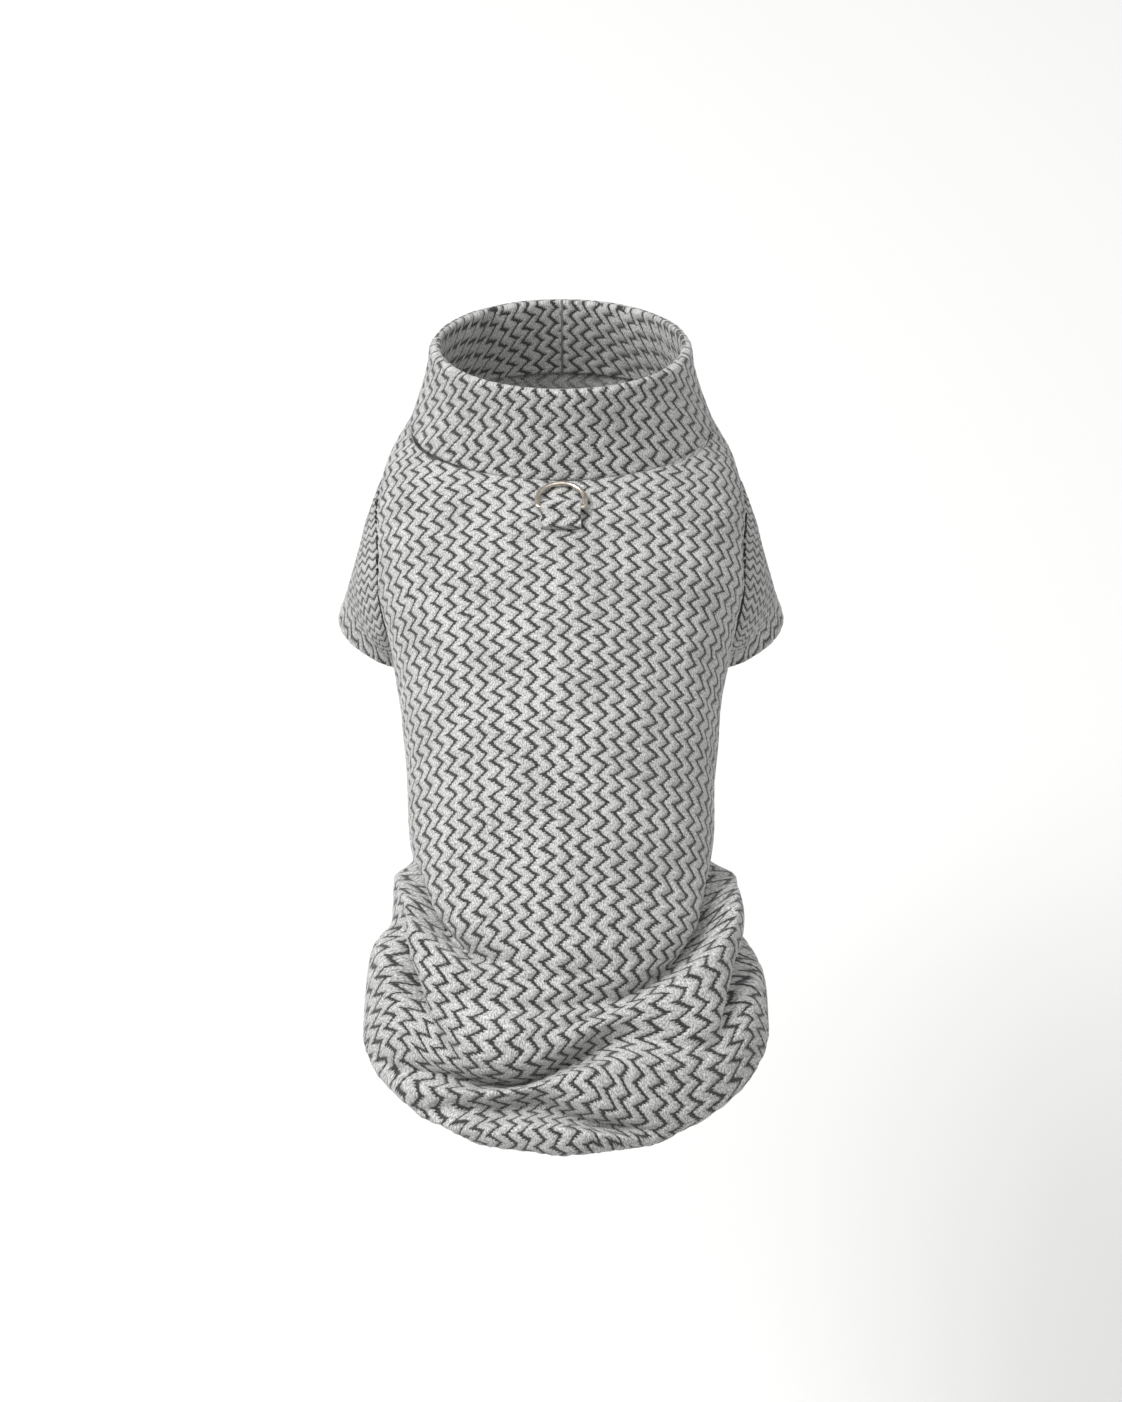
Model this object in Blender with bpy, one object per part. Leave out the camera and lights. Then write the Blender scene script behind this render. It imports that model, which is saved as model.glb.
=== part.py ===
"""A dog shirt of zigzag knit, worn and hollow: collar, short sleeves, D-ring, rear bunched in folds.

Tables and sizes are in millimetres and degrees, and the meshes are in metres.
+Y points to the head, +X to the wearer's right seen from behind, +Z up.
The origin is where the wearer's withers carry the back panel, on its inner face and its centre line.

The torso is one curved surface. A point on it has two coordinates: "along", the distance down the
centre back from the neck seam, and "round", the angle from the centre back, which is 0 at the
spine and 180 at the belly. Every piece is cut from that surface, or is sewn to an edge of it.
"""

import math

import bmesh
import bpy
import numpy as np

MM = 0.001

# ---------------------------------------------------------------- driving dimensions
WALL = 2.0              # knit cloth, one layer with its loft
COLLAR_WALL = 4.2       # the same knit folded double
SEAM_GAP = 0.3          # between pieces that are sewn edge to edge
WITHERS_ALONG = 45.0    # from the neck seam to the point where the wearer carries the shirt

SIDE_SEAM_ROUND = 109.0             # the side seam runs below the widest point
ARMHOLE_ALONG = 36.0                # middle of the armhole, on the side seam
ARMHOLE_HALF_ALONG = 26.5
ARMHOLE_HALF_ROUND = 33.0

# The hem slants: it is long over the back and short at the belly. Each place as round, along.
HEM = ((0, 290), (25, 288), (45, 278), (60, 263), (75, 243), (90, 221), (109, 195), (140, 160),
       (165, 141), (180, 139))

# One row for each section of the torso.
# slope: fall of the centre back towards the tail. lean: tilt of the section from upright.
# half: half width. rise: from the widest level up to the back. depth: back to belly.
# tuck: how far the lower sides draw in towards the keel of the chest.
SECTION_COLUMNS = ("along", "slope", "lean", "half", "rise", "depth", "tuck")
SECTIONS = (
    (0.0, -6.0, 61.0, 65.0, 57.0, 117.0, 0.00),
    (8.0, -4.0, 51.0, 74.0, 57.0, 131.0, 0.05),
    (20.0, -1.0, 37.0, 78.5, 57.0, 147.0, 0.16),
    (41.0, 1.0, 26.5, 78.0, 58.0, 157.0, 0.26),
    (65.0, 2.0, 18.0, 71.0, 60.0, 153.0, 0.20),
    (95.0, 4.0, 12.0, 65.0, 60.0, 144.0, 0.10),
    (130.0, 7.0, 9.0, 62.0, 58.0, 134.0, 0.05),
    (165.0, 10.0, 9.0, 61.5, 57.0, 126.0, 0.02),
    (200.0, 14.0, 12.0, 67.0, 58.0, 122.0, 0.00),
    (235.0, 20.0, 17.0, 68.5, 60.0, 118.0, 0.00),
    (295.0, 36.0, 24.0, 60.0, 60.0, 112.0, 0.00),
)
SHOULDER_SQUARE = 0.05              # fullness of the upper sides beyond an ellipse

# The folds over the hips, where the length of the shirt is bunched up.
# One row for each valley, with the columns places, reach and lip:
# places: its line across the back from left to right, each as round, along, depth, behind, where
# behind is how far the cloth behind the valley stands out past the cloth before it.
# reach: half the valley's width. lip: how far the cloth behind leans forward over it.
FOLDS = (
    # on the left, where the smooth part of the back tucks under the first roll
    (((-104, 152, 2, 2.5), (-84, 160, 3, 4), (-66, 173, 6, 7), (-46, 196, 8, 6), (-26, 210, 4, 2),
      (-12, 212, 1, 0)), 10.0, 7.0),
    # on the right and across the middle, under the main swag
    (((-34, 227, 3, 0), (-12, 231, 4, 1), (14, 228, 5, 3), (40, 213, 8, 8), (72, 174, 6, 12),
      (104, 148, 2, 7)), 10.0, 9.0),
    # a soft hollow between the two
    (((-50, 206, 0, 0), (-26, 220, 2.5, 0), (4, 217, 2.5, 0), (24, 212, 1, 0)), 11.0, 1.0),
    # at either side, under the outer rolls
    (((-104, 178, 2, 4), (-80, 185, 5, 5), (-64, 196, 9, 4), (-50, 222, 9, 2), (-42, 236, 4, 0)), 12.0, 4.0),
    (((50, 238, 2, 0), (62, 216, 10, 2), (79, 194, 9, 3), (104, 172, 2, 3)), 12.0, 4.0),
    # the deep one low down, over the last roll but one
    (((-54, 250, 3, 0), (-40, 257, 8, 2), (-20, 261, 12, 4), (4, 254, 12, 4), (24, 245, 7, 2),
      (40, 243, 3, 0)), 8.0, 8.0),
    # a shallow one in the main swag
    (((-8, 244, 1, 0), (10, 237, 4, 1), (28, 229, 4, 0), (44, 224, 1, 0)), 8.0, 3.0),
    # over the hem roll
    (((-50, 268, 1, 0), (-36, 272, 5, 1), (-22, 275, 8, 1), (-2, 273, 9, 1), (16, 275, 7, 1),
      (32, 275, 1, 0)), 6.0, 5.0),
)
CREASE = 1.35                       # how sharp a valley's floor is: 2 is round, and 1 is a crease
FOLD_FADE = 14.0                    # degrees in which a fold runs out past its first and last place
HEM_ROLL = 8.0                      # the hem edge rolls under on this radius

# The collar, from the neck seam to its folded rim.
COLLAR_HEIGHT = 37.0
COLLAR_RIM_HALF = 55.0
COLLAR_RIM_BACK = 52.0
COLLAR_PROUD = 1.4                  # the doubled collar stands proud of the back panel
COLLAR_FOOT = 0.9                   # rounding of its edges at the neck seam

# The sleeve on the right. The left one is its mirror image.
CUFF_CENTRE = (71.5, 5.0, -117.0)   # from the centre back of the neck seam
CUFF_HALF_OUT = 28.5
CUFF_HALF_FORE = 30.0
CUFF_OUT_TILT = 22.0                # the outer edge of the cuff is higher than the inner one
CUFF_FORE_TILT = 20.0               # and the rear edge higher than the front one
SLEEVE_CAP = 26.0                   # how far the cloth runs on from the armhole before it turns down

# Tab and ring.
TAB_HALF_WIDTH = 8.0
TAB_BAR_ALONG = 17.0                # the ring's straight bar, from the neck seam
TAB_END_ALONG = 26.0
TAB_LAYER = 1.2
TAB_LOOP_FROM, TAB_LOOP_TO = 55.0, 270.0    # the part of the tab that is bent round the bar
TAB_TAIL_TOP = ((0.55, 0.1), (0.33, 1.35))  # share of the tail, height above the bar's centre
BAR_CLEARANCE = 0.6
WIRE = 2.0
RING_WIDTH = 21.5                   # outside
RING_HEIGHT = 16.0                  # outside
RING_CORNER = 1.5
RING_REST_ABOVE = 0.35              # wire to cloth where the ring lies on the back


# How finely the meshes are divided.
FRONT_ROWS, ARMHOLE_ROWS, BODY_ROWS, FOLD_ROWS = 2, 12, 7, 32
FOLD_SHARE = 0.47                   # of the length behind the armhole, where the folds lie
BACK_COLUMNS, BELLY_COLUMNS = 44, 12
COLLAR_COLUMNS, SLEEVE_ROWS, TAB_COLUMNS = 44, 7, 4
LOOP_POINTS, CORNER_POINTS, BOW_POINTS = 13, 4, 19


# ---------------------------------------------------------------- tables into smooth functions
def smooth(xs, ys, x):
    """Monotone cubic through the points of a table, straight on beyond its ends."""
    xs, ys = np.asarray(xs, float), np.asarray(ys, float)
    step = np.diff(xs)
    rate = np.diff(ys) / step
    slope = np.empty_like(ys)
    slope[1:-1] = np.where(rate[1:] * rate[:-1] > 0,
                           2 * rate[1:] * rate[:-1] / (rate[1:] + rate[:-1] + 1e-12), 0)
    slope[0], slope[-1] = rate[0], rate[-1]
    x = np.asarray(x, float)
    inside = np.clip(x, xs[0], xs[-1])
    k = np.clip(np.searchsorted(xs, inside, side="right") - 1, 0, len(step) - 1)
    t = (inside - xs[k]) / step[k]
    value = ((1 + 2 * t) * (1 - t) ** 2 * ys[k] + t * (1 - t) ** 2 * step[k] * slope[k]
             + t * t * (3 - 2 * t) * ys[k + 1] + t * t * (t - 1) * step[k] * slope[k + 1])
    beyond = np.where(x > xs[-1], slope[-1] * (x - xs[-1]), np.where(x < xs[0], slope[0] * (x - xs[0]), 0))
    return value + beyond


def section(name, along):
    """A column of the section table at any distance along the back."""
    column = SECTION_COLUMNS.index(name)
    return smooth([row[0] for row in SECTIONS], [row[column] for row in SECTIONS], along)


BACK_STEP = 1.0
BACK_ALONG = np.arange(-20.0, 340.0, BACK_STEP)
BACK_SLOPE = np.radians(section("slope", BACK_ALONG))
BACK_Y = -np.cumsum(np.cos(BACK_SLOPE)) * BACK_STEP
BACK_Z = -np.cumsum(np.sin(BACK_SLOPE)) * BACK_STEP


def unit(v):
    return v / np.linalg.norm(v, axis=-1, keepdims=True)


def back_line(along):
    """Centre back, on the outer face, with the neck seam at the origin."""
    y = np.interp(along, BACK_ALONG, BACK_Y) - np.interp(0.0, BACK_ALONG, BACK_Y)
    z = np.interp(along, BACK_ALONG, BACK_Z) - np.interp(0.0, BACK_ALONG, BACK_Z)
    return y, z


def torso_form(round_deg, along):
    """The torso without its folds."""
    angle = np.radians(round_deg)
    lean = np.radians(section("lean", along))
    rise, depth = section("rise", along), section("depth", along)
    upper = np.cos(angle) > 0
    quarter = np.sin(2 * angle) ** 2
    full = np.where(upper, 1 + SHOULDER_SQUARE * quarter, 1 - section("tuck", along) * quarter)
    x = section("half", along) * np.sin(angle) * full
    down = rise - np.where(upper, rise, depth - rise) * np.cos(angle)
    y, z = back_line(along)
    return np.stack([x, y + down * np.sin(lean), z - down * np.cos(lean)], axis=-1)


def across_and_along(surface, round_deg, along):
    """Unit tangents of a surface round it and down it, and its outward normal."""
    du, dv = 0.05, 0.05
    across = surface(round_deg + du, along) - surface(round_deg - du, along)
    down = surface(round_deg, along + dv) - surface(round_deg, along - dv)
    normal = unit(np.cross(down, across))
    return unit(across), unit(down), normal


def wrapped(round_deg):
    """The same round between -180 and 180."""
    return (np.asarray(round_deg, float) + 180) % 360 - 180


def hem_along(round_deg):
    return smooth(*np.transpose(HEM), np.abs(wrapped(round_deg)))


def smoothstep(x):
    x = np.clip(x, 0, 1)
    return x * x * (3 - 2 * x)


def fold_shift(round_deg, along):
    """How far the folds lift the cloth off the plain form, and push it towards the head."""
    round_deg = wrapped(round_deg)
    lift, advance = np.zeros(along.shape), np.zeros(along.shape)
    for places, reach, lip in FOLDS:
        at, line, depth, behind = np.array(places, float).T
        middle = smooth(at, line, round_deg)
        held = np.clip(round_deg, at[0], at[-1])
        size, step = smooth(at, depth, held), smooth(at, behind, held)
        past = np.maximum(at[0] - round_deg, round_deg - at[-1])
        share = 1 - smoothstep(past / FOLD_FADE)
        x = (along - middle) / reach
        lift += share * (step * smoothstep((x + 0.4) / 1.6) - size * np.exp(-1.3 * np.abs(x) ** CREASE))
        strength = (size + step) / (depth + behind).max()
        advance += lip * share * strength * np.exp(-((x - 1.2) / 0.9) ** 2)
    edge = np.clip((along - hem_along(round_deg)) / (HEM_ROLL * math.pi / 2) + 1, 0, 1.2) * math.pi / 2
    lift -= HEM_ROLL * (1 - np.cos(edge))
    advance += HEM_ROLL * (edge - np.sin(edge))
    return lift, advance


def torso(round_deg, along):
    """The torso with its folds: the outer face of the cloth."""
    lift, advance = fold_shift(round_deg, along)
    down, normal = across_and_along(torso_form, round_deg, along)[1:]
    return torso_form(round_deg, along) + normal * lift[..., None] - down * advance[..., None]


def torso_wall(round_deg, along, above):
    """A point above (or below) the torso's outer face, along its normal."""
    round_deg, along = np.broadcast_arrays(np.asarray(round_deg, float), np.asarray(along, float))
    normal = across_and_along(torso, round_deg, along)[2]
    return torso(round_deg, along) + normal * np.asarray(above, float)[..., None]


WITHERS = torso_wall(0.0, WITHERS_ALONG, -WALL)


# ---------------------------------------------------------------- collar
def collar_wall(round_deg, height, depth):
    """The collar: height above the neck seam in mm, depth in from its outer face."""
    angle = np.radians(round_deg)
    lean = np.radians(section("lean", 0.0))
    rise, drop = section("rise", 0.0), section("depth", 0.0) - section("rise", 0.0)
    share = smoothstep(0.15 + 0.85 * height / COLLAR_HEIGHT) ** 0.7
    upper = np.cos(angle) > 0
    half = section("half", 0.0) + COLLAR_PROUD
    half = half + (COLLAR_RIM_HALF - half) * share
    high = np.where(upper, rise, drop) + COLLAR_PROUD
    high = high + (COLLAR_RIM_BACK - high) * share
    x = (half - depth) * np.sin(angle)
    up = (high - depth) * np.cos(angle) - rise
    y, z = back_line(0.0)
    return np.stack([x, y - up * np.sin(lean) + height * np.cos(lean),
                     z + up * np.cos(lean) + height * np.sin(lean)], axis=-1)


# ---------------------------------------------------------------- sleeves
def armhole(turn_deg, size=1.0):
    """Round and along on the torso's surface, from the top of the right armhole by way of its rear."""
    turn = np.radians(turn_deg)
    return (SIDE_SEAM_ROUND - size * ARMHOLE_HALF_ROUND * np.cos(turn),
            ARMHOLE_ALONG + size * ARMHOLE_HALF_ALONG * np.sin(turn))


def cuff(turn_deg):
    """The edge of the right cuff's outer face, and the direction down the sleeve."""
    turn = np.radians(turn_deg)
    out_tilt, fore_tilt = math.radians(CUFF_OUT_TILT), math.radians(CUFF_FORE_TILT)
    out = np.array([math.cos(out_tilt), 0, math.sin(out_tilt)])
    rear = np.array([0, -math.cos(fore_tilt), math.sin(fore_tilt)])
    edge = (np.array(CUFF_CENTRE) + CUFF_HALF_OUT * np.cos(turn)[..., None] * out
            + CUFF_HALF_FORE * np.sin(turn)[..., None] * rear)
    return edge, unit(np.cross(out, rear))


def sleeve(turn_deg, share):
    """The outer face of the right sleeve, from the armhole (0) to the cuff (1)."""
    turn_deg, share = np.broadcast_arrays(np.asarray(turn_deg, float), np.asarray(share, float))
    hole = torso(*armhole(turn_deg))
    normal = across_and_along(torso, *armhole(turn_deg))[2]
    outward = unit(hole - torso(*armhole(turn_deg, 0.9)))
    start = hole - SEAM_GAP * outward + SEAM_GAP * normal
    end, down = cuff(turn_deg)
    leave = (end - start) + SLEEVE_CAP * normal
    arrive = down * np.linalg.norm(end - start, axis=-1, keepdims=True)
    t = share[..., None]
    return ((1 + 2 * t) * (1 - t) ** 2 * start + t * (1 - t) ** 2 * leave
            + t * t * (3 - 2 * t) * end + t * t * (t - 1) * arrive)


def sleeve_wall(turn_deg, share, depth):
    """A point inside the sleeve's outer face, by a depth in mm."""
    inward = across_and_along(sleeve, turn_deg, share)[2]
    return sleeve(turn_deg, share) + inward * np.asarray(depth, float)[..., None]


# ---------------------------------------------------------------- ring and its tab
BAR_ABOVE = SEAM_GAP + TAB_LAYER + BAR_CLEARANCE + WIRE / 2
LOOP_RADIUS = WIRE / 2 + BAR_CLEARANCE + TAB_LAYER
CHANNEL_RADIUS = WIRE / 2 + BAR_CLEARANCE


def above_back(x, along, above):
    """A point above the back panel, at a distance x from the centre line."""
    round_deg = np.degrees(np.arcsin(x / section("half", along)))
    return torso_wall(round_deg, along, above)


def tab_outline():
    """Outer outline of the folded tab round the bar: tail end, loop, then back under the tail."""
    tail = TAB_END_ALONG - TAB_BAR_ALONG
    loop = [(LOOP_RADIUS * math.cos(a), LOOP_RADIUS * math.sin(a))
            for a in np.radians(np.linspace(TAB_LOOP_FROM, TAB_LOOP_TO, LOOP_POINTS))]
    top = [(tail, 2 * TAB_LAYER - LOOP_RADIUS)] + [(tail * share, above) for share, above in TAB_TAIL_TOP]
    under = [(tail * share, -LOOP_RADIUS) for share in (1 / 3, 2 / 3, 1)]
    return top + loop + under


TAB_OUTLINE = tab_outline()


def tab_wall(turn_deg, x, depth):
    """The tab, by the turn round its bar: the outer outline, or the channel for the bar (depth 1)."""
    index = np.rint(np.asarray(turn_deg) * len(TAB_OUTLINE) / 360).astype(int) % len(TAB_OUTLINE)
    outer = np.array(TAB_OUTLINE)[index]
    channel = unit(outer) * CHANNEL_RADIUS
    place = np.where(np.asarray(depth)[..., None] > 0.5, channel, outer)
    along, above = TAB_BAR_ALONG + place[..., 0], BAR_ABOVE + place[..., 1]
    straight = above_back(0.0 * x, along, above) + np.stack([x, 0 * x, 0 * x], axis=-1)
    tail = smoothstep((place[..., 0] - LOOP_RADIUS) / (TAB_END_ALONG - TAB_BAR_ALONG - LOOP_RADIUS))
    return straight + (above_back(x, along, above) - straight) * tail[..., None]


def ring_path():
    """Centre line of the D-ring's wire, in the ring's own plane: x, and distance from the bar."""
    half, height = (RING_WIDTH - WIRE) / 2, RING_HEIGHT - WIRE
    corner = [(half - RING_CORNER + RING_CORNER * math.cos(a), RING_CORNER + RING_CORNER * math.sin(a))
              for a in np.radians(np.linspace(-90, 0, CORNER_POINTS))]
    bow = [(half * math.cos(a), height - half + half * math.sin(a))
           for a in np.radians(np.linspace(0, 180, BOW_POINTS))]
    other = [(-x, y) for x, y in reversed(corner)]
    return corner + bow + other


# ---------------------------------------------------------------- building
def knit(name, colour):
    material = bpy.data.materials.new(name)
    material.use_nodes = True
    shader = material.node_tree.nodes["Principled BSDF"]
    shader.inputs["Base Color"].default_value = colour
    shader.inputs["Roughness"].default_value = 0.95
    return material


def nickel(name):
    material = bpy.data.materials.new(name)
    material.use_nodes = True
    shader = material.node_tree.nodes["Principled BSDF"]
    shader.inputs["Base Color"].default_value = (0.62, 0.59, 0.54, 1)
    shader.inputs["Metallic"].default_value = 1.0
    shader.inputs["Roughness"].default_value = 0.25
    return material


def finish(bm, name, material, points):
    """Put a bmesh's vertices at points (mm from the neck seam) and make it an object."""
    for vert, point in zip(bm.verts, (points - WITHERS) * MM):
        vert.co = point
    bmesh.ops.recalc_face_normals(bm, faces=bm.faces)
    if bm.calc_volume(signed=True) < 0:
        bmesh.ops.reverse_faces(bm, faces=bm.faces)
    mesh = bpy.data.meshes.new(name)
    bm.to_mesh(mesh)
    bm.free()
    mesh.shade_smooth()
    obj = bpy.data.objects.new(name, mesh)
    obj.data.materials.append(material)
    bpy.context.collection.objects.link(obj)
    return obj


def sheet(name, columns, rows, place, material):
    """A wall of cloth from a grid. place(across 0..1, row number, inside 0 or 1) gives its points."""
    bm = bmesh.new()
    bmesh.ops.create_grid(bm, x_segments=columns, y_segments=rows, size=1)
    made = bmesh.ops.extrude_face_region(bm, geom=bm.faces[:], use_keep_orig=True)["geom"]
    bmesh.ops.translate(bm, verts=[v for v in made if isinstance(v, bmesh.types.BMVert)], vec=(0, 0, 1))
    grid = np.array([v.co for v in bm.verts])
    row = np.rint((grid[:, 1] + 1) / 2 * rows).astype(int)
    return finish(bm, name, material, place((grid[:, 0] + 1) / 2, row, grid[:, 2]))


def tube(name, around, profile, place, material):
    """A closed wall round a tube. profile is a loop of (height, depth) through its section."""
    bm = bmesh.new()
    verts = [bm.verts.new((2 + i, 0, 0)) for i in range(len(profile))]
    edges = [bm.edges.new((verts[i - 1], verts[i])) for i in range(len(profile))]
    bmesh.ops.spin(bm, geom=verts + edges, angle=2 * math.pi, steps=around, axis=(0, 0, 1),
                   cent=(0, 0, 0), use_merge=True)
    bmesh.ops.remove_doubles(bm, verts=bm.verts, dist=1e-4)
    spun = np.array([v.co for v in bm.verts])
    turn = np.rint(np.degrees(np.arctan2(spun[:, 1], spun[:, 0])) * around / 360) * 360 / around % 360
    number = np.rint(np.hypot(spun[:, 0], spun[:, 1]) - 2).astype(int)
    height, depth = np.array(profile, float)[number].T
    return finish(bm, name, material, place(turn, height, depth))


PANEL_ROWS = FRONT_ROWS + ARMHOLE_ROWS + BODY_ROWS + FOLD_ROWS
SIDE_GAP_ROUND = 0.15               # half the gap at the side seam, as an angle


def row_along(row, round_deg):
    """How far down the back a row of a panel lies: straight at the armhole, slanted at the hem."""
    before = ARMHOLE_ALONG - ARMHOLE_HALF_ALONG
    behind = ARMHOLE_ALONG + ARMHOLE_HALF_ALONG
    front = before * row / FRONT_ROWS
    beside = ARMHOLE_ALONG - ARMHOLE_HALF_ALONG * np.cos(math.pi * (row - FRONT_ROWS) / ARMHOLE_ROWS)
    last = row - FRONT_ROWS - ARMHOLE_ROWS
    body = (1 - FOLD_SHARE) * last / BODY_ROWS
    fold = 1 - FOLD_SHARE + FOLD_SHARE * (last - BODY_ROWS) / FOLD_ROWS
    share = np.where(last < BODY_ROWS, body, fold)
    rear = behind + share * (hem_along(round_deg) - behind)
    return np.where(row < FRONT_ROWS, front, np.where(last < 0, beside, rear))


def notch(row):
    """How much of the round a panel gives up to the armhole at a row."""
    turn = math.pi * (row - FRONT_ROWS) / ARMHOLE_ROWS
    inside = (row > FRONT_ROWS) & (row < FRONT_ROWS + ARMHOLE_ROWS)
    return np.where(inside, ARMHOLE_HALF_ROUND * np.sin(turn), 0.0)


def back_place(across, row, outside):
    edge = SIDE_SEAM_ROUND - SIDE_GAP_ROUND - notch(row)
    round_deg = edge * (2 * across - 1)
    return torso_wall(round_deg, row_along(row, round_deg), WALL * (outside - 1))


def belly_place(across, row, outside):
    edge = 180 - SIDE_SEAM_ROUND - SIDE_GAP_ROUND - notch(row)
    round_deg = 180 + edge * (2 * across - 1)
    return torso_wall(round_deg, row_along(row, round_deg), WALL * (outside - 1))


def collar_profile():
    """Heights and depths round the collar's section: outer face, rolled rim, inner face, foot."""
    radius = COLLAR_WALL / 2
    low, high = SEAM_GAP + COLLAR_FOOT, COLLAR_HEIGHT - radius
    outer = [(h, 0.0) for h in np.linspace(low, high, 7)]
    rim = [(high + radius * math.sin(a), radius - radius * math.cos(a))
           for a in np.radians((36, 72, 108, 144))]
    inner = [(h, COLLAR_WALL) for h in np.linspace(high, low, 5)]
    foot = [(SEAM_GAP, COLLAR_WALL - COLLAR_FOOT), (SEAM_GAP, COLLAR_FOOT)]
    return outer + rim + inner + foot


def sleeve_profile():
    shares = np.linspace(0, 1, SLEEVE_ROWS + 1)
    return [(t, 0.0) for t in shares] + [(t, WALL) for t in reversed(shares)]


def mirrored(place):
    return lambda *where: place(*where) * np.array((-1.0, 1.0, 1.0))


def add_ring(material):
    """The D-ring, its origin on the axis of its straight bar, lying forward on the back."""
    bar = above_back(0.0, TAB_BAR_ALONG, BAR_ABOVE)
    reach = RING_HEIGHT - WIRE
    rest = above_back(0.0, TAB_BAR_ALONG - reach, RING_REST_ABOVE + WIRE / 2)
    forward = unit(rest - bar)
    curve = bpy.data.curves.new("d_ring", "CURVE")
    curve.dimensions = "3D"
    curve.bevel_depth = WIRE / 2 * MM
    curve.bevel_resolution = 2
    path = ring_path()
    spline = curve.splines.new("POLY")
    spline.points.add(len(path) - 1)
    spline.use_cyclic_u = True
    for point, (x, out) in zip(spline.points, path):
        point.co = (x * MM, out * forward[1] * MM, out * forward[2] * MM, 1)
    curve.materials.append(material)
    ring = bpy.data.objects.new("d_ring", curve)
    ring.location = (bar - WITHERS) * MM
    bpy.context.collection.objects.link(ring)


def main():
    for obj in list(bpy.data.objects):
        bpy.data.objects.remove(obj)
    cloth = knit("zigzag_knit", (0.42, 0.42, 0.42, 1))
    under = knit("zigzag_knit_belly", (0.38, 0.38, 0.38, 1))
    sleeve_cloth = knit("zigzag_knit_sleeve", (0.40, 0.40, 0.40, 1))
    collar_cloth = knit("zigzag_knit_collar", (0.44, 0.44, 0.44, 1))
    tab_cloth = knit("zigzag_knit_tab", (0.36, 0.36, 0.36, 1))
    sheet("back_panel", BACK_COLUMNS, PANEL_ROWS, back_place, cloth)
    sheet("belly_panel", BELLY_COLUMNS, PANEL_ROWS, belly_place, under)
    tube("sleeve_right", 2 * ARMHOLE_ROWS, sleeve_profile(), sleeve_wall, sleeve_cloth)
    tube("sleeve_left", 2 * ARMHOLE_ROWS, sleeve_profile(), mirrored(sleeve_wall), sleeve_cloth)
    tube("collar", COLLAR_COLUMNS, collar_profile(), collar_wall, collar_cloth)
    tab_across = np.linspace(-TAB_HALF_WIDTH, TAB_HALF_WIDTH, TAB_COLUMNS + 1)
    tab_profile = [(x, 0.0) for x in tab_across] + [(x, 1.0) for x in reversed(tab_across)]
    tube("ring_tab", len(TAB_OUTLINE), tab_profile, tab_wall, tab_cloth)
    add_ring(nickel("nickel_plated_wire"))


main()
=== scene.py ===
"""The looks of a dog shirt of zigzag knit, worn and hollow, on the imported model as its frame.

Tables and sizes are in millimetres and degrees, and the meshes are in metres, in the model's frame.
+Y points to the head, +X to the wearer's right seen from behind, +Z up.

The torso is one curved surface. A point on it has two coordinates: "along", the distance down the
centre back from the neck seam, and "round", the angle from the centre back, which is 0 at the
spine and 180 at the belly. Every piece is cut from that surface, or is sewn to an edge of it.
Each cloth piece is a closed wall: a fine outer face with the relief of the knit, and a plainer
inner one. Its UV map is the flat cloth, in millimetres, and the knit is drawn on that.
"""

import math
from functools import partial

import bmesh
import bpy
import numpy as np
from mathutils import Matrix, Vector


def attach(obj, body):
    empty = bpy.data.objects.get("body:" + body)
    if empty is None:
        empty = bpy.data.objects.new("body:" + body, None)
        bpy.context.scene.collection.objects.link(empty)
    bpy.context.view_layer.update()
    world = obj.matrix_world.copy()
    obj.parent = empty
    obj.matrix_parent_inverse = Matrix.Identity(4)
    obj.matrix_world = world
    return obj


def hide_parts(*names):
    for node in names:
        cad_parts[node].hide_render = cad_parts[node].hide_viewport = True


MM = 0.001

# ------------ sizes of the shirt
WALL = 2.0              # knit cloth, one layer with its loft
COLLAR_WALL = 4.2       # the same knit folded double
SEAM_GAP = 0.3          # between pieces that are sewn edge to edge
WITHERS_ALONG = 45.0    # from the neck seam to the point where the wearer carries the shirt

SIDE_SEAM_ROUND = 109.0             # the side seam runs below the widest point
ARMHOLE_ALONG = 36.0                # middle of the armhole, on the side seam
ARMHOLE_HALF_ALONG = 26.5
ARMHOLE_HALF_ROUND = 33.0

# The hem slants: it is long over the back and short at the belly. Each place as round, along.
HEM = ((0, 290), (25, 288), (45, 278), (60, 263), (75, 243), (90, 221), (109, 195), (140, 160),
       (165, 141), (180, 139))

# One row for each section of the torso.
# slope: fall of the centre back towards the tail. lean: tilt of the section from upright.
# half: half width. rise: from the widest level up to the back. depth: back to belly.
# tuck: how far the lower sides draw in towards the keel of the chest.
SECTION_COLUMNS = ("along", "slope", "lean", "half", "rise", "depth", "tuck")
SECTIONS = (
    (0, -6, 61, 65, 57, 117, 0),
    (8, -4, 51, 74, 57, 131, 0.05),
    (20, -1, 37, 78.5, 57, 147, 0.16),
    (41, 1, 26.5, 78, 58, 157, 0.26),
    (65, 2, 18, 71, 60, 153, 0.20),
    (95, 4, 12, 65, 60, 144, 0.10),
    (130, 7, 9, 62, 58, 134, 0.05),
    (165, 10, 9, 61.5, 57, 126, 0.02),
    (200, 14, 12, 67, 58, 122, 0),
    (235, 20, 17, 68.5, 60, 118, 0),
    (295, 36, 24, 60, 60, 112, 0),
)
SHOULDER_SQUARE = 0.05              # fullness of the upper sides beyond an ellipse

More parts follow.
